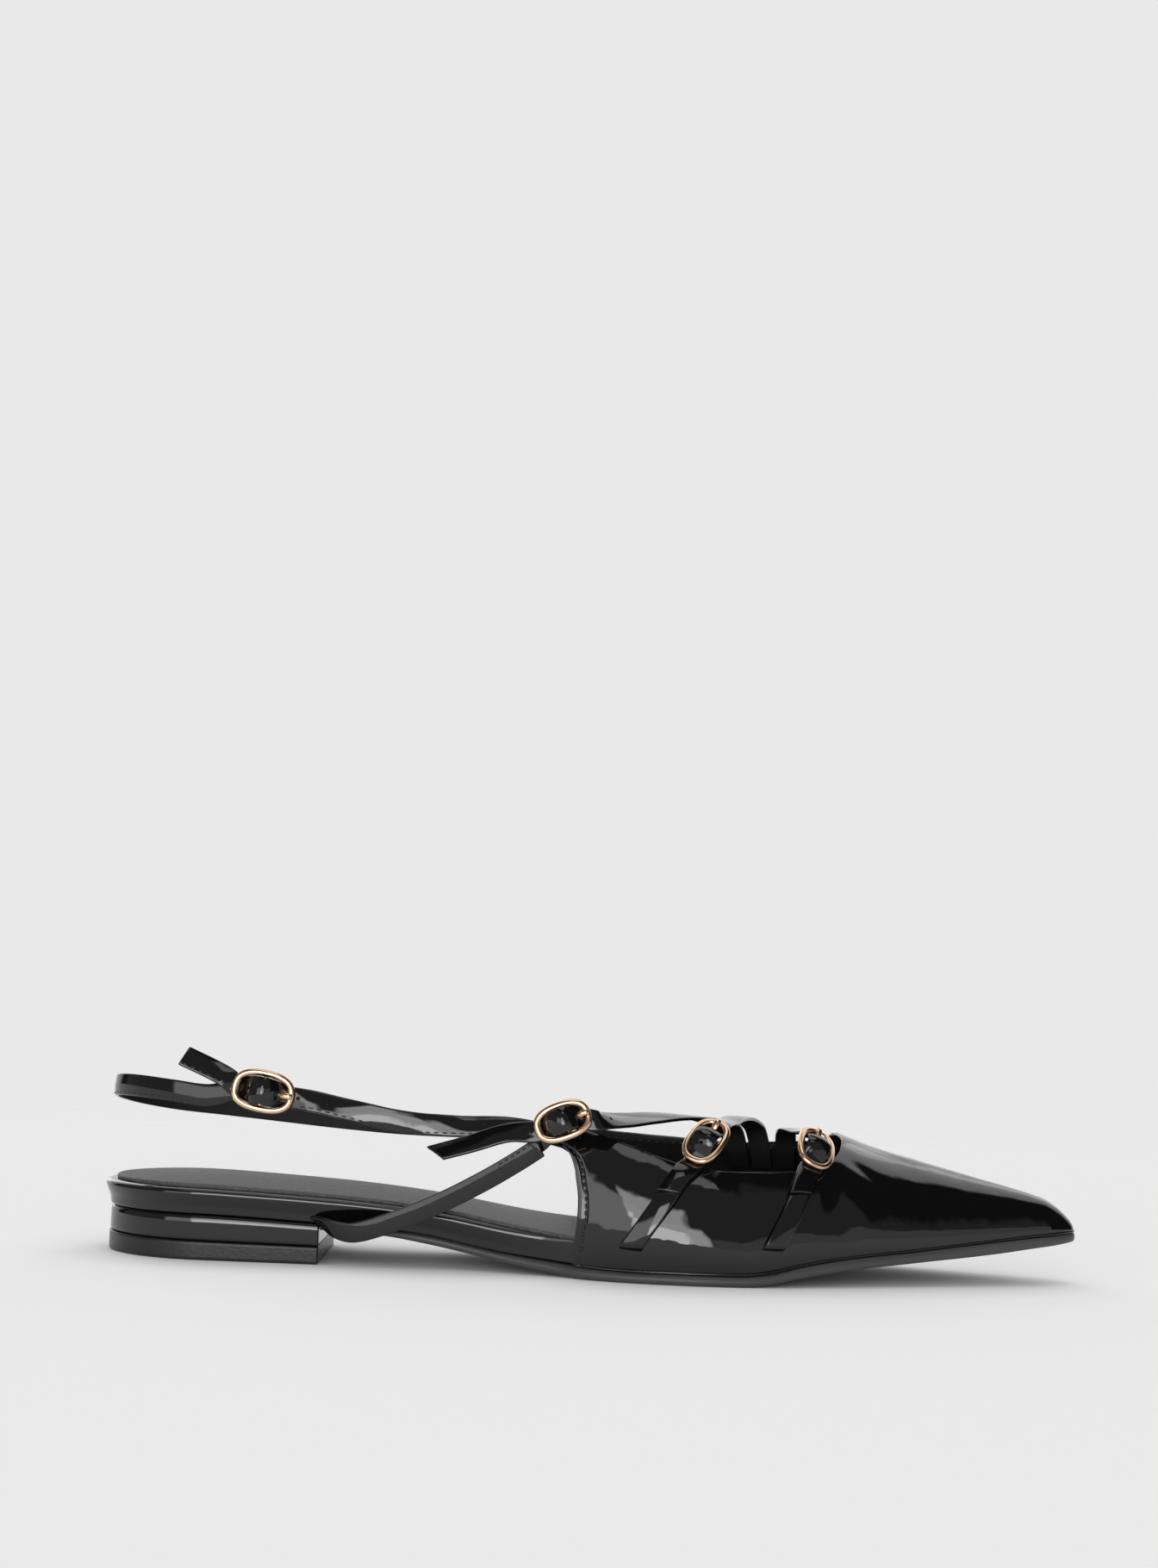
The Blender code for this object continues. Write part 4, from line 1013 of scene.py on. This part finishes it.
# Sling strap, medial run round the heel to the buckle bar
sling_back = [
    skin_row(138.0, 33.0, 1, INSIDE, 5.0),
    skin_row(129.5, 34.6, 1, INSIDE, 5.2),
    skin_row(121.5, 36.0, 1, INSIDE, STRAP_SLIM),
    free_row(110.0, 22.6, 36.3, 180, 0),
    free_row(97.0, 23.6, 36.1, 178, 0),
    free_row(78.0, 25.0, 36.3, 175, 0),
    free_row(60.0, 25.6, 37.3, 172, 0),
    free_row(45.0, 25.2, 38.5, 168, 0),
    free_row(29.0, 23.2, 39.9, 158, 2),
    free_row(16.0, 19.0, 41.2, 142, 3),
    free_row(6.0, 12.0, 43.2, 120, 4),
    free_row(0.8, 1.6, 45.5, 92, 4),
    free_row(2.4, -9.0, 46.9, 65, 3),
    free_row(9.4, -17.6, 47.3, 40, 2),
    free_row(20.0, -22.8, 46.6, 17, 4),
    free_row(29.0, -24.6, 45.9, 5, 5),
    buckle_row(SLING, -9.4, -HOLD_UNDER - 0.5, 5.4, -1.6),
    buckle_row(SLING, -5.5, -HOLD_UNDER, TAB_WIDE, -0.7),
    buckle_row(SLING, -2.6, -2.25, TAB_WIDE, -0.2),
]
sling_back += loop_rows(SLING)
SLING_BACK = Strap(sling_back)

# Arch strap from under the platform to the instep buckle, and the narrow tab under it
ARCH = Strap(
    [
        free_row(57.0, -21.6, 13.2, 30, -80, 4.2),
        free_row(61.4, -25.6, 12.4, 24, -52, 4.6),
        free_row(66.0, -28.7, 10.8, 14, -22, 5.2),
        free_row(71.0, -30.3, 10.2, 5, -6, STRAP_SLIM),
        free_row(78.0, -31.4, 12.2, 0, 0, STRAP_SLIM),
        free_row(86.0, -32.4, 15.5, 0, 0, STRAP_SLIM),
        free_row(96.0, -33.4, 20.2, 0, 0, STRAP_SLIM),
        free_row(107.0, -35.0, 26.4, 0, 2, STRAP_SLIM),
        free_row(116.0, -36.6, 32.2, 0, 4, STRAP_SLIM),
        free_row(121.8, -37.6, 36.3, 0, 6, STRAP_SLIM),
    ],
    end_slant=0.5,
)
tab_rows = [
    free_row(110.0, -33.8, 28.4, 0, 2, TAB_WIDE),
    free_row(116.0, -34.9, 32.6, 0, 4, TAB_WIDE),
    free_row(121.6, -35.6, 36.9, 0, 8, TAB_WIDE),
    buckle_row(INSTEP, -2.9, -2.5, TAB_WIDE, -0.9),
]
tab_rows += loop_rows(INSTEP)
ARCH_TAB = Strap(tab_rows)

# Instep strap from the medial collar through its buckle to the free tail
instep_rows = [
    skin_row(178.0, 28.0, 1, COLLAR_INSIDE, STRAP_WIDE),
    skin_row(177.2, 32.6, 1, COLLAR_INSIDE, STRAP_WIDE),
    free_row(175.2, 27.4, 38.0, 0, 140),
    free_row(171.6, 21.0, 40.2, 0, 120),
    free_row(166.0, 11.5, 42.0, 0, 96),
    free_row(159.0, -1.0, 43.3, 0, 74),
    free_row(152.0, -13.0, 43.6, 0, 52),
    free_row(145.0, -25.5, 43.6, 0, 40),
    free_row(*INSTEP.spot(9.6, -UNDER_FRAME - 0.3, -3.0), 0, 27, STRAP_SLIM),
]
instep_rows += through_rows(INSTEP, -2.2)
instep_rows += [
    free_row(113.0, -38.6, 39.8, 0, 30, STRAP_SLIM),
    free_row(103.0, -39.4, 36.5, 0, 38, STRAP_SLIM),
    free_row(93.4, -40.0, 33.6, 0, 42, STRAP_SLIM),
]
INSTEP_STRAP = Strap(instep_rows, end_slant=-3.6)

# Vamp straps: lower halves lie on the vamp and hold the buckles, upper halves cross the throat
TAIL_SLANT = -2.6
REAR_SWING = 8.0
TAIL_GAP = 0.14


def over_row(strap, walked, width, aside):
    """Row for a tail that lies on another strap."""
    at = np.array((walked,))
    spot = strap.on(at, np.array((0.5 + aside,)), np.array((STRAP_THICK + TAIL_GAP,)))[0]
    face = Strap.read(at, strap.walk, strap.face)[0]
    return (spot, face, width)


rear_lower = [
    skin_row(144.9, 6.4, -1, ON_SKIN),
    skin_row(147.4, 10.2, -1, ON_SKIN, swing=REAR_SWING),
    skin_row(151.6, 16.4, -1, TURNED_ON_SKIN, swing=REAR_SWING),
    skin_row(156.4, 23.5, -1, TURNED_ON_SKIN, swing=REAR_SWING),
    skin_row(160.6, 29.8, -1, ON_SKIN),
    buckle_row(REAR, -8.6, -HOLD_UNDER + 0.05, 5.2),
    buckle_row(REAR, -5.4, -HOLD_UNDER, TAB_WIDE),
    buckle_row(REAR, -2.6, -2.25, TAB_WIDE),
]
rear_lower += loop_rows(REAR)
REAR_LOWER = Strap(rear_lower)
rear_upper = [
    skin_row(184.6, 28.0, 1, COLLAR_INSIDE, STRAP_WIDE),
    skin_row(184.0, 32.6, 1, COLLAR_INSIDE, STRAP_WIDE),
    free_row(182.0, 26.0, 38.2, 0, 138),
    free_row(180.4, 20.0, 40.6, 0, 120),
    free_row(178.0, 11.0, 42.6, 0, 92),
    free_row(175.4, 0.0, 43.4, 0, 70),
    free_row(173.0, -11.0, 43.0, 0, 52),
]
rear_upper += through_rows(REAR)
rear_upper += [
    over_row(REAR_LOWER, REAR_LOWER.nearest(160.9, 30.4), STRAP_SLIM, 0.0),
    over_row(REAR_LOWER, REAR_LOWER.nearest(157.2, 24.8), STRAP_SLIM, 0.05),
]
REAR_UPPER = Strap(rear_upper, end_slant=TAIL_SLANT)
front_lower = [
    skin_row(184.3, 7.6, -1, ON_SKIN),
    skin_row(186.3, 11.6, -1, ON_SKIN),
    skin_row(189.6, 18.0, -1, ON_SKIN),
    skin_row(192.6, 24.6, -1, ON_SKIN),
    skin_row(194.0, 27.9, -1, ON_SKIN),
    buckle_row(FRONT, -8.4, -HOLD_UNDER - 0.3, 5.2, 1.0),
    buckle_row(FRONT, -5.3, -HOLD_UNDER - 0.1, TAB_WIDE, 0.4),
    buckle_row(FRONT, -2.6, -2.3, TAB_WIDE),
]
front_lower += loop_rows(FRONT)
FRONT_LOWER = Strap(front_lower)
front_upper = [
    skin_row(191.4, 28.5, 1, COLLAR_INSIDE, STRAP_WIDE),
    skin_row(191.0, 33.0, 1, COLLAR_INSIDE, STRAP_WIDE),
    free_row(190.6, 24.4, 37.4, 0, 134),
    free_row(190.5, 18.6, 38.8, 0, 118),
    free_row(191.4, 9.6, 40.0, 0, 100),
    free_row(193.6, 0.0, 40.3, 0, 74),
]
front_upper += through_rows(FRONT)
front_upper += [
    over_row(FRONT_LOWER, FRONT_LOWER.nearest(194.6, 29.6), STRAP_SLIM, 0.0),
    over_row(FRONT_LOWER, FRONT_LOWER.nearest(192.9, 25.4), STRAP_SLIM, 0.05),
]
FRONT_UPPER = Strap(front_upper, end_slant=TAIL_SLANT)

# Straps: name, path, buckle it swells over, height where its end sinks into the vamp
STRAPS = (
    ("sling_strap_front", SLING_FRONT, SLING, None),
    ("sling_strap_back", SLING_BACK, None, None),
    ("arch_strap", ARCH, None, None),
    ("arch_strap_tab", ARCH_TAB, None, None),
    ("instep_strap", INSTEP_STRAP, INSTEP, None),
    ("rear_vamp_strap_lower", REAR_LOWER, None, 10.1),
    ("rear_vamp_strap_upper", REAR_UPPER, REAR, None),
    ("front_vamp_strap_lower", FRONT_LOWER, None, 11.2),
    ("front_vamp_strap_upper", FRONT_UPPER, FRONT, None),
)
STRAP_THINGS = {row[0]: make_strap(*row) for row in STRAPS}

# Punched holes: strap and its path, station and height along it, share across, depth from the face
HOLES = (
    ("sling_strap_front", SLING_FRONT, 54.7, 45.7, 0.5, 0.7),
    ("sling_strap_front", SLING_FRONT, 62.1, 44.4, 0.5, 0.7),
    ("sling_strap_front", SLING_FRONT, 41.6, 48.6, 0.5, 0.7),
    ("sling_strap_front", SLING_FRONT, 105.4, 40.2, 0.4, 3.0),
    ("instep_strap", INSTEP_STRAP, 140.2, 44.3, 0.5, 0.7),
    ("instep_strap", INSTEP_STRAP, 119.0, 42.4, 0.5, 0.7),
    ("rear_vamp_strap_upper", REAR_UPPER, 165.6, 38.8, 0.5, 0.7),
)
HOLE_RADIUS = 0.55
HOLE_SIDES = 28
SHARP_ANGLE = math.radians(42)
PUNCH_LONG = 4.0


def punch(name, holes):
    """Round holes cut into a strap, with the cutter removed afterwards."""
    thing = STRAP_THINGS[name]
    bm = bmesh.new()
    for strap, s, z, share, deep in holes:
        i = int(np.argmin(np.abs(strap.walk - strap.nearest(s, z))))
        axis = Vector(strap.face[i]).to_track_quat("Z", "Y").to_matrix().to_4x4()
        high = np.array((STRAP_THICK / 2 + CROWN - deep + PUNCH_LONG / 2,))
        axis.translation = Vector(place(strap.on(strap.walk[i:i + 1], np.array((share,)), high)[0]))
        bmesh.ops.create_cone(
            bm, cap_ends=True, segments=HOLE_SIDES, radius1=HOLE_RADIUS * MM, radius2=HOLE_RADIUS * MM,
            depth=PUNCH_LONG * MM, matrix=axis,
        )
    mesh = bpy.data.meshes.new("punch")
    bm.to_mesh(mesh)
    bm.free()
    mesh.materials.append(LINING)
    tool = bpy.data.objects.new("punch", mesh)
    bpy.context.scene.collection.objects.link(tool)
    cut = thing.modifiers.new("holes", "BOOLEAN")
    cut.operation = "DIFFERENCE"
    cut.solver = "EXACT"
    cut.object = tool
    made = bpy.data.meshes.new_from_object(thing.evaluated_get(bpy.context.evaluated_depsgraph_get()))
    thing.modifiers.clear()
    thing.data = made
    made.set_sharp_from_angle(angle=SHARP_ANGLE)
    bpy.data.objects.remove(tool)


for hole_name in sorted({row[0] for row in HOLES}):
    punch(hole_name, [row[1:] for row in HOLES if row[0] == hole_name])

# Glued line round the vamp, laid like a wire
WIRE_STEPS = 20
BEAD_OUT = -0.2
BEAD_DROP = 0.1
BEAD_WIDE = 0.5
BEAD_HIGH = 0.5
BEAD_TAPER = 8.0


def tube(points, sides, outs, wide, deep, closed):
    """Round or flattened wire: a grid wrapped round a line, its ends drawn to points."""
    turn = np.linspace(0.0, 2.0 * np.pi, WIRE_STEPS + 1)
    ring = np.cos(turn)[None, :, None] * (sides * wide[:, None])[:, None, :]
    ring = ring + np.sin(turn)[None, :, None] * (outs * deep[:, None])[:, None, :]
    grid = points[:, None, :] + ring
    grid[:, -1] = grid[:, 0]
    if closed:
        grid = np.concatenate((grid, grid[:1]))
    bm = lay(grid)
    weld(bm)
    return bm


def make_bead():
    """Rough glued line where the vamp meets the outsole, from wing to wing round the toe."""
    line = VAMP_POINTS[:, 0] + VAMP_NORMALS[:, 0] * BEAD_OUT - (0.0, 0.0, BEAD_DROP)
    ahead = unit(np.gradient(line, axis=0))
    outs = np.tile((0.0, 0.0, 1.0), (len(line), 1))
    sides = unit(np.cross(ahead, outs))
    taper = end_round(np.minimum(np.arange(len(line)), np.arange(len(line))[::-1]) + 0.0, BEAD_TAPER)
    bead = tube(line, sides, outs, BEAD_WIDE * taper, BEAD_HIGH * taper, False)
    piece("joint_bead", bead, "patent", [WELT])


make_bead()

# Buckles and prongs; the prong line is drawn for a frame of PRONG_SHARE: way along, way out
FRAME_STEPS = 120
FRAME_POWER = 0.77
FRAME_WRAP = 12
FRAME_SOFT = 2.0
FRAME_WIRE_WIDE = 0.98
FRAME_WIRE_DEEP = 0.85
BAR_STEPS = 9
PRONG_SHARE = 0.93
PRONG_LINE = ((3.4, 0.0), (4.4, 0.6), (5.3, 1.15), (6.2, 1.45), (6.9, 1.45), (7.5, 1.0))
PRONG_STEPS = 41
PRONG_SOFT = 3.0
PRONG_WIDE = 0.85
PRONG_DEEP = 0.48
PRONG_LONG = 6.3
PRONG_ROUND = 0.6


def make_buckle(name, buckle):
    turn = np.linspace(0.0, 2.0 * np.pi, FRAME_STEPS, False)
    c = np.sign(np.cos(turn)) * np.abs(np.cos(turn)) ** FRAME_POWER
    s = np.sign(np.sin(turn)) * np.abs(np.sin(turn)) ** FRAME_POWER
    bow = BUCKLE_BOW * (1.0 - c * c)
    flat = np.stack((FRAME_A * buckle.share * c, FRAME_B * buckle.share * s, bow), -1)
    wrapped = np.concatenate((flat[-FRAME_WRAP:], flat, flat[:FRAME_WRAP]))
    flat = soften(wrapped, FRAME_SOFT)[FRAME_WRAP:-FRAME_WRAP]
    axes = np.stack((buckle.long, buckle.cross, buckle.out))
    ahead = unit(np.roll(flat, -1, 0) - np.roll(flat, 1, 0)) @ axes
    points = buckle.centre + flat @ axes
    sides = unit(np.cross(ahead, buckle.out))
    outs = np.cross(sides, ahead)
    full = np.ones(FRAME_STEPS)
    bm = tube(points, sides, outs, full * FRAME_WIRE_WIDE, full * FRAME_WIRE_DEEP, True)
    bar_b = np.linspace(-FRAME_B, FRAME_B, BAR_STEPS) * buckle.share
    bar = np.stack([buckle.spot(0.0, -BAR_DROP, b) for b in bar_b])
    long_side = np.tile(buckle.long, (BAR_STEPS, 1))
    out_side = np.tile(buckle.out, (BAR_STEPS, 1))
    thick = np.full(BAR_STEPS, BAR_RADIUS)
    add_mesh(bm, tube(bar, long_side, out_side, thick, thick, False))
    piece(name + "_buckle_look", bm, "pale_gold", [GOLD], name + "_buckle")
    line = np.array(PRONG_LINE)
    walk = np.linspace(0.0, 1.0, PRONG_STEPS)
    along = np.interp(walk, np.linspace(0, 1, len(line)), line[:, 0])
    high = soften(np.interp(walk, np.linspace(0, 1, len(line)), line[:, 1]), PRONG_SOFT)
    pin = np.stack([buckle.spot(a, n) for a, n in zip(along * buckle.share / PRONG_SHARE, high)])
    ahead = unit(np.gradient(pin, axis=0))
    side = np.tile(buckle.cross, (PRONG_STEPS, 1))
    to_end = np.minimum(walk * PRONG_LONG, (1.0 - walk) * PRONG_LONG)
    taper = end_round(to_end, PRONG_ROUND)
    prong = tube(pin, side, np.cross(side, ahead), PRONG_WIDE * taper, PRONG_DEEP * taper, False)
    piece(name + "_prong_look", prong, "pale_gold", [GOLD], name + "_prong")


BUCKLES = {"sling": SLING, "instep": INSTEP, "rear_vamp": REAR, "front_vamp": FRONT}
for buckle_name, buckle_axes in BUCKLES.items():
    make_buckle(buckle_name, buckle_axes)

# Stitches as small pads joined into one piece for each part: pitch, dash, width, height
THIN_STITCH = (2.35, 1.5, 0.46, 0.2)
BOX_STITCH = (1.9, 1.35, 0.6, 0.28)
WING_STITCH = (1.95, 1.45, 0.72, 0.38)
STITCH_SPAN = (-0.3, 0.0, 0.3)
ROW_STEP = 0.4
SLING_ROW = 0.87
SLING_HEM = 1.5
SLING_BACK_START = 24.0
SLING_BACK_STOP = 26.0
BOX_HEM = 1.6
BOX_LONG = 11.0
BOX_SIDES = (0.15, 0.85)
BOX_STEPS = 9
WING_RUN = slice(6, -2)
WING_STITCH_OUT = 0.06
COLLAR_STITCH_IN = 2.6
COLLAR_STITCH_OUT = 0.03
MEDIAL_FROM = 0.70
MEDIAL_STOP = 8


def add_stitches(bm, points, normals, sizes):
    """Pads laid in a row along a line of surface points."""
    pitch, dash, wide, high = sizes
    walk = np.concatenate(((0.0,), np.cumsum(np.linalg.norm(np.diff(points, axis=0), axis=1))))
    for middle in np.arange(pitch / 2, walk[-1], pitch):
        ends = [Strap.read(np.array((middle + half,)), walk, points)[0] for half in STITCH_SPAN]
        ahead = unit(ends[2] - ends[0])
        up = Strap.read(np.array((middle,)), walk, normals)[0]
        up = unit(up - ahead * (up @ ahead))
        side = np.cross(up, ahead)
        axes = np.stack((ahead * dash / 2, side * wide / 2, up * high), -1) * MM
        frame_matrix = Matrix(axes.tolist()).to_4x4()
        frame_matrix.translation = Vector(place(ends[1]))
        bmesh.ops.create_uvsphere(bm, u_segments=10, v_segments=6, radius=1.0, matrix=frame_matrix)


def strap_top(share):
    """Height of the crowned strap face over the middle of the strap."""
    return STRAP_THICK / 2 + CROWN * (1.0 - (2.0 * share - 1.0) ** 2)


def strap_stitches(bm, strap, first, last, across, sizes=THIN_STITCH):
    walked = np.linspace(first, last, max(int(abs(last - first) / ROW_STEP), 3))
    share = np.full(len(walked), across)
    points = strap.on(walked, share, strap_top(share))
    add_stitches(bm, points, Strap.read(walked, strap.walk, strap.face), sizes)


sling_stitches = bmesh.new()
SLING_RUNS = (
    (SLING_FRONT.nearest(118.0, 40.4), SLING_FRONT.nearest(55.0, 46.0)),
    (SLING_FRONT.nearest(34.0, 51.5), SLING_FRONT.walk[-1] - SLING_HEM),
)
for first, last in SLING_RUNS:
    strap_stitches(sling_stitches, SLING_FRONT, first, last, SLING_ROW)
back_end = SLING_BACK.walk[-1] - SLING_BACK_STOP
strap_stitches(sling_stitches, SLING_BACK, SLING_BACK_START, back_end, 1.0 - SLING_ROW)
piece("sling_stitches", sling_stitches, "strap_patent", [THREAD])

arch_stitches = bmesh.new()
box_end = ARCH.walk[-1] - BOX_HEM
box_start = box_end - BOX_LONG
for share in BOX_SIDES:
    strap_stitches(arch_stitches, ARCH, box_start, box_end, share, BOX_STITCH)
shares = np.linspace(*BOX_SIDES, BOX_STEPS)
for walked in (box_start, box_end):
    line = ARCH.on(np.full(BOX_STEPS, walked), shares, strap_top(shares))
    add_stitches(arch_stitches, line, np.tile(ARCH.face[-4], (BOX_STEPS, 1)), BOX_STITCH)
piece("arch_strap_stitches", arch_stitches, "strap_patent", [THREAD])


def edge_line(points, normals, distance, off):
    """Line on the vamp a set way in from the first column, and the normals along it."""
    steps = np.linalg.norm(np.diff(points, axis=0), axis=-1)
    line, faces = [], []
    for j in range(points.shape[1]):
        walk = np.concatenate(((0.0,), np.cumsum(steps[:, j])))
        at = np.array((distance,))
        normal = Strap.read(at, walk, normals[:, j])[0]
        line.append(Strap.read(at, walk, points[:, j])[0] + off * normal)
        faces.append(normal * math.copysign(1.0, off))
    return np.array(line), np.array(faces)


vamp_stitches = bmesh.new()
for way in (1, -1):
    line, faces = edge_line(VAMP_POINTS[::way], VAMP_NORMALS[::way], STITCH_IN, WING_STITCH_OUT)
    add_stitches(vamp_stitches, line[WING_RUN], faces[WING_RUN], WING_STITCH)
collar_points = VAMP_POINTS[:, ::-1].swapaxes(0, 1)
collar_normals = VAMP_NORMALS[:, ::-1].swapaxes(0, 1)
lining_off = -UPPER_WALL - COLLAR_STITCH_OUT
line, faces = edge_line(collar_points, collar_normals, COLLAR_STITCH_IN, lining_off)
medial_run = slice(int(MEDIAL_FROM * len(line)), len(line) - MEDIAL_STOP)
add_stitches(vamp_stitches, line[medial_run], faces[medial_run], THIN_STITCH)
piece("vamp_stitches", vamp_stitches, "patent", [THREAD])

# Studio: pale floor fading into the backdrop, panels of light on a dim surround
FLOOR_RADIUS = 0.9
FLOOR_TONE = 0.86
FLOOR_NEAR = 0.42
FLOOR_FAR = 0.62
FLOOR_GLOW = 0.294
FLOOR_SHADE = 0.03
BACKDROP = 0.815


def make_floor():
    bm = bmesh.new()
    bmesh.ops.create_circle(bm, cap_ends=True, segments=96, radius=FLOOR_RADIUS)
    mesh = bpy.data.meshes.new("floor")
    bm.to_mesh(mesh)
    bm.free()
    material, tree, shader, coords = new_material("look_floor", (FLOOR_TONE,) * 3, 0.9, level=0.0)
    length = add_node(tree, "ShaderNodeVectorMath", operation="LENGTH")
    wire(tree, coords, length.inputs[0])
    fade = ramp(tree, length.outputs["Value"], FLOOR_NEAR, FLOOR_FAR, 1.0, 0.0)
    wire(tree, fade, shader.inputs["Alpha"])
    # Painted light and shade: the floor glows, which lifts its shadows, and ambient occlusion dims that
    # glow near the shoe into a painted contact shadow
    shader.inputs["Emission Color"].default_value = (1.0, 1.0, 1.0, 1.0)
    shade = add_node(tree, "ShaderNodeAmbientOcclusion", samples=2)
    shade.inputs["Distance"].default_value = FLOOR_SHADE
    glow = maths(tree, "MULTIPLY", shade.outputs["AO"], FLOOR_GLOW)
    wire(tree, glow, shader.inputs["Emission Strength"])
    mesh.materials.append(material)
    floor = bpy.data.objects.new("floor", mesh)
    bpy.context.scene.collection.objects.link(floor)


make_floor()

# Light panels round the shoe in degrees: azimuth from, to, height from, to, soft edge, then brightness
PANELS = (
    (-180.0, -125.0, -5.0, 95.0, 14.0, 0.9),
    (127.0, 180.0, -5.0, 60.0, 14.0, 0.95),
    (127.0, 170.0, 28.0, 60.0, 12.0, 1.25),
    (148.0, 166.0, 6.0, 40.0, 5.0, 1.7),
    (-168.0, -146.0, 4.0, 46.0, 6.0, 2.0),
    (-13.0, 1.0, -3.0, 12.0, 5.0, 8.5),
    (-14.0, 11.0, -2.0, 19.0, 5.0, 4.8),
    (-14.0, 3.0, 16.0, 30.0, 5.0, 4.4),
    (-46.0, -12.0, -2.0, 22.0, 6.0, 2.3),
    (12.0, 62.0, -2.0, 14.0, 5.0, 0.65),
    (-110.0, 58.0, -2.0, 56.0, 10.0, 0.22),
    (-4.0, 27.0, 54.0, 64.0, 6.0, 1.6),
)
OVERHEAD = 1.5
OVERHEAD_FROM = 69.0
OVERHEAD_FULL = 76.0
HORIZON_SOFT = 2.0
DIM = 0.03


def box_light(tree, azimuth, height, panel):
    """One panel of light with soft edges; azimuth is 0 at the camera and grows to the toe."""
    left, right, low, high, soft, light = panel
    edges = [
        ramp(tree, height, low - soft / 4, low + soft / 4),
        ramp(tree, height, high - soft / 2, high + soft / 2, 1.0, 0.0),
    ]
    if left > -180.0:
        edges.append(ramp(tree, azimuth, left - soft / 2, left + soft / 2))
    if right < 180.0:
        edges.append(ramp(tree, azimuth, right - soft / 2, right + soft / 2, 1.0, 0.0))
    for edge in edges:
        light = maths(tree, "MULTIPLY", edge, light)
    return light


def make_world():
    world = bpy.data.worlds.new("studio")
    bpy.context.scene.world = world
    world.use_nodes = True
    tree = world.node_tree
    way = add_node(tree, "ShaderNodeTexCoord").outputs["Generated"]
    split = add_node(tree, "ShaderNodeSeparateXYZ")
    wire(tree, way, split.inputs[0])
    x, y, z = split.outputs
    turned = maths(tree, "ARCTAN2", x, maths(tree, "MULTIPLY", y, -1.0))
    azimuth = maths(tree, "DEGREES", turned)
    height = maths(tree, "DEGREES", maths(tree, "ARCSINE", z))
    light = ramp(tree, height, OVERHEAD_FROM, OVERHEAD_FULL, DIM, OVERHEAD)
    for panel in PANELS:
        light = maths(tree, "MAXIMUM", light, box_light(tree, azimuth, height, panel))
    below = ramp(tree, height, -HORIZON_SOFT, 0.0, BACKDROP, 0.0)
    light = maths(tree, "MAXIMUM", light, below)
    seen = add_node(tree, "ShaderNodeLightPath").outputs["Is Camera Ray"]
    pick = add_node(tree, "ShaderNodeMix", data_type="FLOAT")
    wire(tree, seen, pick.inputs["Factor"])
    wire(tree, light, pick.inputs["A"])
    pick.inputs["B"].default_value = BACKDROP
    wire(tree, pick.outputs["Result"], tree.nodes["Background"].inputs["Strength"])
    tree.nodes["Background"].inputs["Color"].default_value = (1.0, 1.0, 1.0, 1.0)


make_world()

# Camera at the photo's angle: lateral side, slightly above the floor
CAMERA_PLACE = (0.01741, -0.99511, 0.11352)
CAMERA_YAW = -1.442
CAMERA_PITCH = 1.273
CAMERA_ROLL = 2.172
CAMERA_LENS = 80.79
CAMERA_SENSOR = 36.0
CAMERA_CLIP = 0.05


def make_camera():
    data = bpy.data.cameras.new("photo_camera")
    data.sensor_width = CAMERA_SENSOR
    data.lens = CAMERA_LENS
    data.clip_start = CAMERA_CLIP
    camera = bpy.data.objects.new("photo_camera", data)
    bpy.context.scene.collection.objects.link(camera)
    yaw, pitch, roll = (math.radians(a) for a in (CAMERA_YAW, CAMERA_PITCH, CAMERA_ROLL))
    ahead = Vector((math.sin(yaw) * math.cos(pitch), math.cos(yaw) * math.cos(pitch), math.sin(pitch)))
    right = Vector((math.cos(yaw), -math.sin(yaw), 0.0))
    up = right.cross(ahead)
    across = right * math.cos(roll) + up * math.sin(roll)
    above = up * math.cos(roll) - right * math.sin(roll)
    axes = Matrix((across, above, -ahead)).transposed().to_4x4()
    axes.translation = Vector(CAMERA_PLACE)
    camera.matrix_world = axes
    bpy.context.scene.camera = camera


make_camera()
bpy.context.scene.view_settings.view_transform = "Standard"
